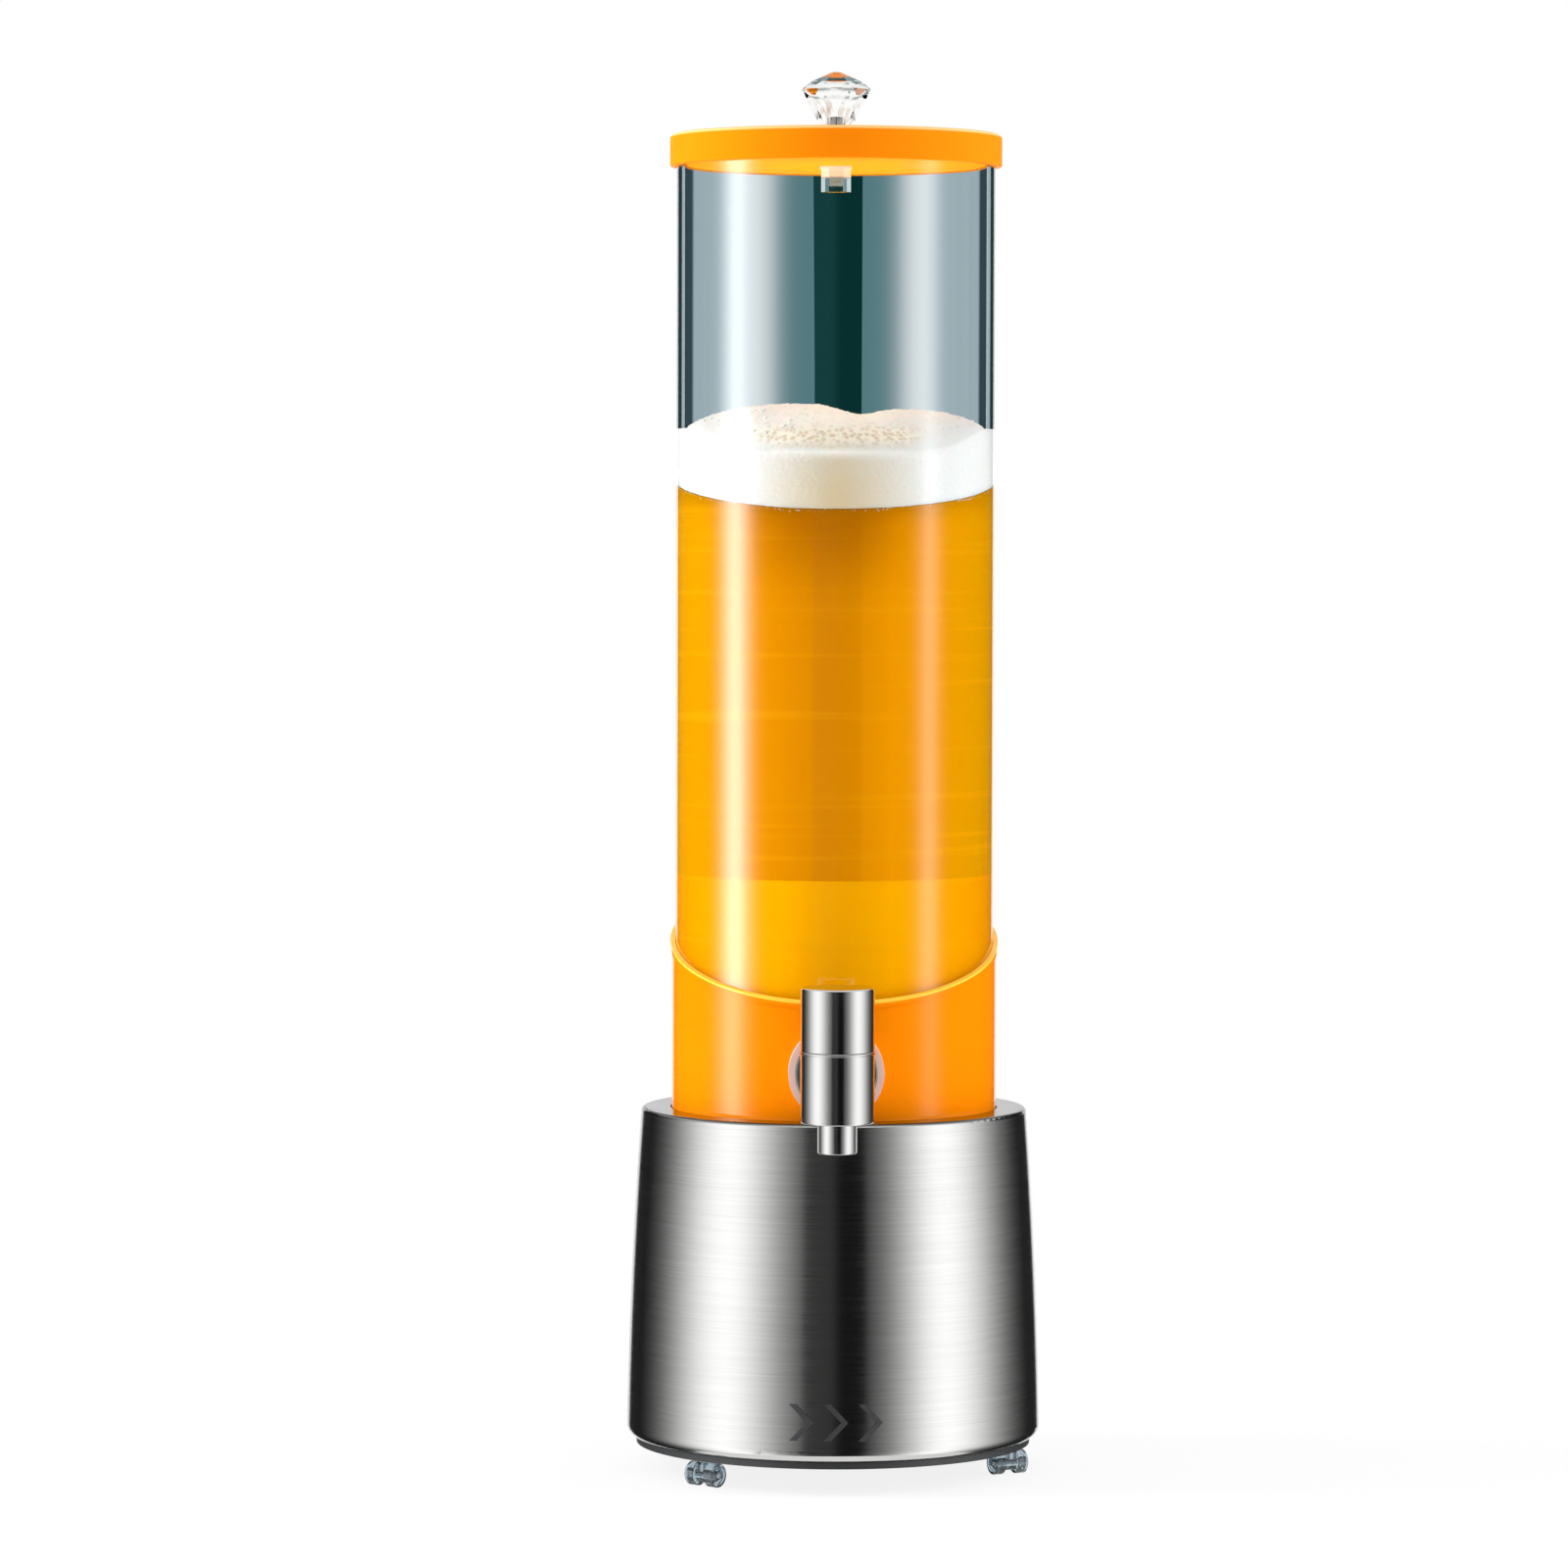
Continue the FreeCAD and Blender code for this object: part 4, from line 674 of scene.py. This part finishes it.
def light_tent():
    """Glows by the angle round the object: lamps and screens, with dark cards before and beside it."""
    t = new_tree("light_tent")
    x, y, z = t.split(t.place())
    turn = t.math("ARCTAN2", x, t.times(y, -1.0))
    angle = t.times(turn, math.degrees(1))
    lamps = t.added(*(t.bell(angle, *shape) for shape in TALL_LAMPS))
    screens = t.added(*(t.bell(angle, *shape) for shape in SOFT_SCREENS))
    sharp = t.rays("Is Singular Ray")
    light = t.added(t.times(lamps, sharp), t.times(screens, t.math("SUBTRACT", 1.0, sharp)))
    low, high = FRONT_CARD
    card = t.times(t.math("GREATER_THAN", angle, low), t.math("LESS_THAN", angle, high))
    tone = t.mapped(angle, -1.5, 2.5, *FRONT_CARD_TONES)
    light = t.added(t.times(light, t.math("SUBTRACT", 1.0, card)), t.times(tone, card))
    beside = t.math("GREATER_THAN", t.math("ABSOLUTE", angle), SIDE_CARDS_FROM)
    light = t.added(t.times(light, t.math("SUBTRACT", 1.0, beside)), t.times(beside, SIDE_CARD_TONE))
    above = t.mapped(z, *CARD_TOPS, 0.0, 1.0, smooth=True)
    light = t.added(t.times(light, t.math("SUBTRACT", 1.0, above)), above)
    return t.end(t.add("Emission", {"Color": colour(1, 1, 1), "Strength": light}).outputs[0])


def stage_mesh(name, vertices, faces, material):
    data = bpy.data.meshes.new(name)
    data.from_pydata(vertices, [], faces)
    data.materials.append(material)
    piece = bpy.data.objects.new(name, data)
    bpy.context.scene.collection.objects.link(piece)
    return piece


def hide_from(piece, *kinds):
    for kind in kinds:
        setattr(piece, "visible_" + kind, False)


def make_stage():
    far = FLOOR_HALF
    corners = [(-far, -far, 0), (far, -far, 0), (far, far, 0), (-far, far, 0)]
    floor = stage_mesh("studio_floor", corners, [(0, 1, 2, 3)], studio_floor())
    floor.visible_glossy = False
    vertices, faces = [], []
    for step in range(TENT_STEPS + 1):
        angle = math.radians(-TENT_LIMIT + 2 * TENT_LIMIT * step / TENT_STEPS)
        x, y = TENT_RADIUS * math.sin(angle), -TENT_RADIUS * math.cos(angle)
        vertices += [(x, y, -TENT_HEIGHT), (x, y, TENT_HEIGHT)]
        if step < TENT_STEPS:
            faces.append((2 * step, 2 * step + 2, 2 * step + 3, 2 * step + 1))
    tent = stage_mesh("light_tent", vertices, faces, light_tent())
    hide_from(tent, "camera", "diffuse", "transmission", "shadow")


BACK_CARD_AWAY, BACK_CARD_HALF = 0.14, 0.13
CARD_MIDDLE = 0.003
STRIP_HALF = 0.0107
STRIP_TONES = (colour(0.008, 0.055, 0.055), colour(0.003, 0.034, 0.033))

# The back card is grey-green, with a soft pale panel on each side, grey beyond and dark at its ends
CARD_TONE, PANEL_TONE = colour(0.12, 0.24, 0.26), colour(0.86, 0.86, 0.88)
OUTER_TONE, END_TONE = colour(0.45, 0.53, 0.57), colour(0.05, 0.08, 0.10)
PANEL_PLACE, PANEL_WIDTHS = 0.036, (0.0097, 0.0075)
OUTER_FROM_TO = (0.025, 0.043)
ENDS_FROM_TO = (0.079, 0.084)


def back_card():
    """Card behind the object, which only the clear tube shows: pale panels beside a dark upright strip."""
    t = new_tree("back_card")
    x = t.split(t.place())[0]
    aside = t.math("ABSOLUTE", t.math("SUBTRACT", x, CARD_MIDDLE))
    tone = t.mixed(t.mapped(aside, *OUTER_FROM_TO, 0.0, 1.0), CARD_TONE, OUTER_TONE)
    tone = t.mixed(t.bell(aside, PANEL_PLACE, *PANEL_WIDTHS, 1.0), tone, PANEL_TONE)
    tone = t.mixed(t.mapped(aside, *ENDS_FROM_TO, 0.0, 1.0), tone, END_TONE)
    turn = t.mapped(x, CARD_MIDDLE - 0.004, CARD_MIDDLE + 0.002, 0.0, 1.0, smooth=True)
    strip = t.math("LESS_THAN", aside, STRIP_HALF)
    tone = t.mixed(strip, tone, t.mixed(turn, *STRIP_TONES))
    return t.end(t.add("Emission", {"Color": tone, "Strength": 1.0}).outputs[0])


def make_back_card():
    half = BACK_CARD_HALF
    away = BACK_CARD_AWAY
    top = LID_TOP
    corners = [(-half, away, 0.001), (half, away, 0.001), (half, away, top), (-half, away, top)]
    card = stage_mesh("back_card", corners, [(0, 1, 2, 3)], back_card())
    hide_from(card, "camera", "diffuse", "glossy", "shadow")


def new_lamp(name, watts, matrix):
    """An area lamp that lights surfaces, but that gloss and glass don't show."""
    data = bpy.data.lights.new(name, "AREA")
    data.energy = watts
    lamp = bpy.data.objects.new(name, data)
    bpy.context.scene.collection.objects.link(lamp)
    lamp.matrix_world = matrix
    hide_from(lamp, "camera", "glossy", "transmission")
    return data


def make_lamps():
    """Soft lamps for the colours, and a small one that lights the lid's foot."""
    for name, degrees, height, size, watts in LAMPS:
        angle = math.radians(degrees)
        place = Vector((LAMP_AWAY * math.sin(angle), -LAMP_AWAY * math.cos(angle), height))
        aim = (place - Vector((0, 0, LAMP_AIM))).to_track_quat("Z", "Y").to_matrix().to_4x4()
        data = new_lamp(name, watts, Matrix.Translation(place) @ aim)
        data.shape = "RECTANGLE"
        data.size, data.size_y = size
    upwards = Matrix.Rotation(math.pi, 4, "X")
    place = Matrix.Translation((0, 0, LID_FOOT - LOW_LAMP_DROP))
    new_lamp("lamp_low", LOW_LAMP_WATTS, place @ upwards).size = LOW_LAMP_SIZE


def make_world():
    world = bpy.data.worlds.new("studio")
    bpy.context.scene.world = world
    t = Tree(world)
    white = t.add("Background", {"Color": colour(1, 1, 1), "Strength": 1.0}).outputs[0]
    soft = t.add("Background", {"Color": colour(0.97, 0.985, 1.0), "Strength": SOFT_LIGHT}).outputs[0]
    t.add("OutputWorld", {"Surface": t.shader(t.rays(*SEEN), soft, white)})


def make_camera():
    data = bpy.data.cameras.new("camera")
    data.sensor_width = SENSOR_MM
    data.lens = SENSOR_MM * FOCAL_PIXELS / FRAME_PIXELS
    data.clip_end = 50.0
    camera = bpy.data.objects.new("camera", data)
    bpy.context.scene.collection.objects.link(camera)
    aim = Euler((math.radians(90 - TILT_DOWN), 0.0, math.radians(HEADING))).to_matrix()
    turn = (aim @ Matrix.Rotation(math.radians(ROLL), 3, "Z")).to_4x4()
    camera.matrix_world = Matrix.Translation(CAMERA_PLACE) @ turn
    bpy.context.scene.camera = camera


make_stage()
make_back_card()
make_lamps()
make_world()
make_camera()

bpy.context.scene.view_settings.view_transform = "Standard"
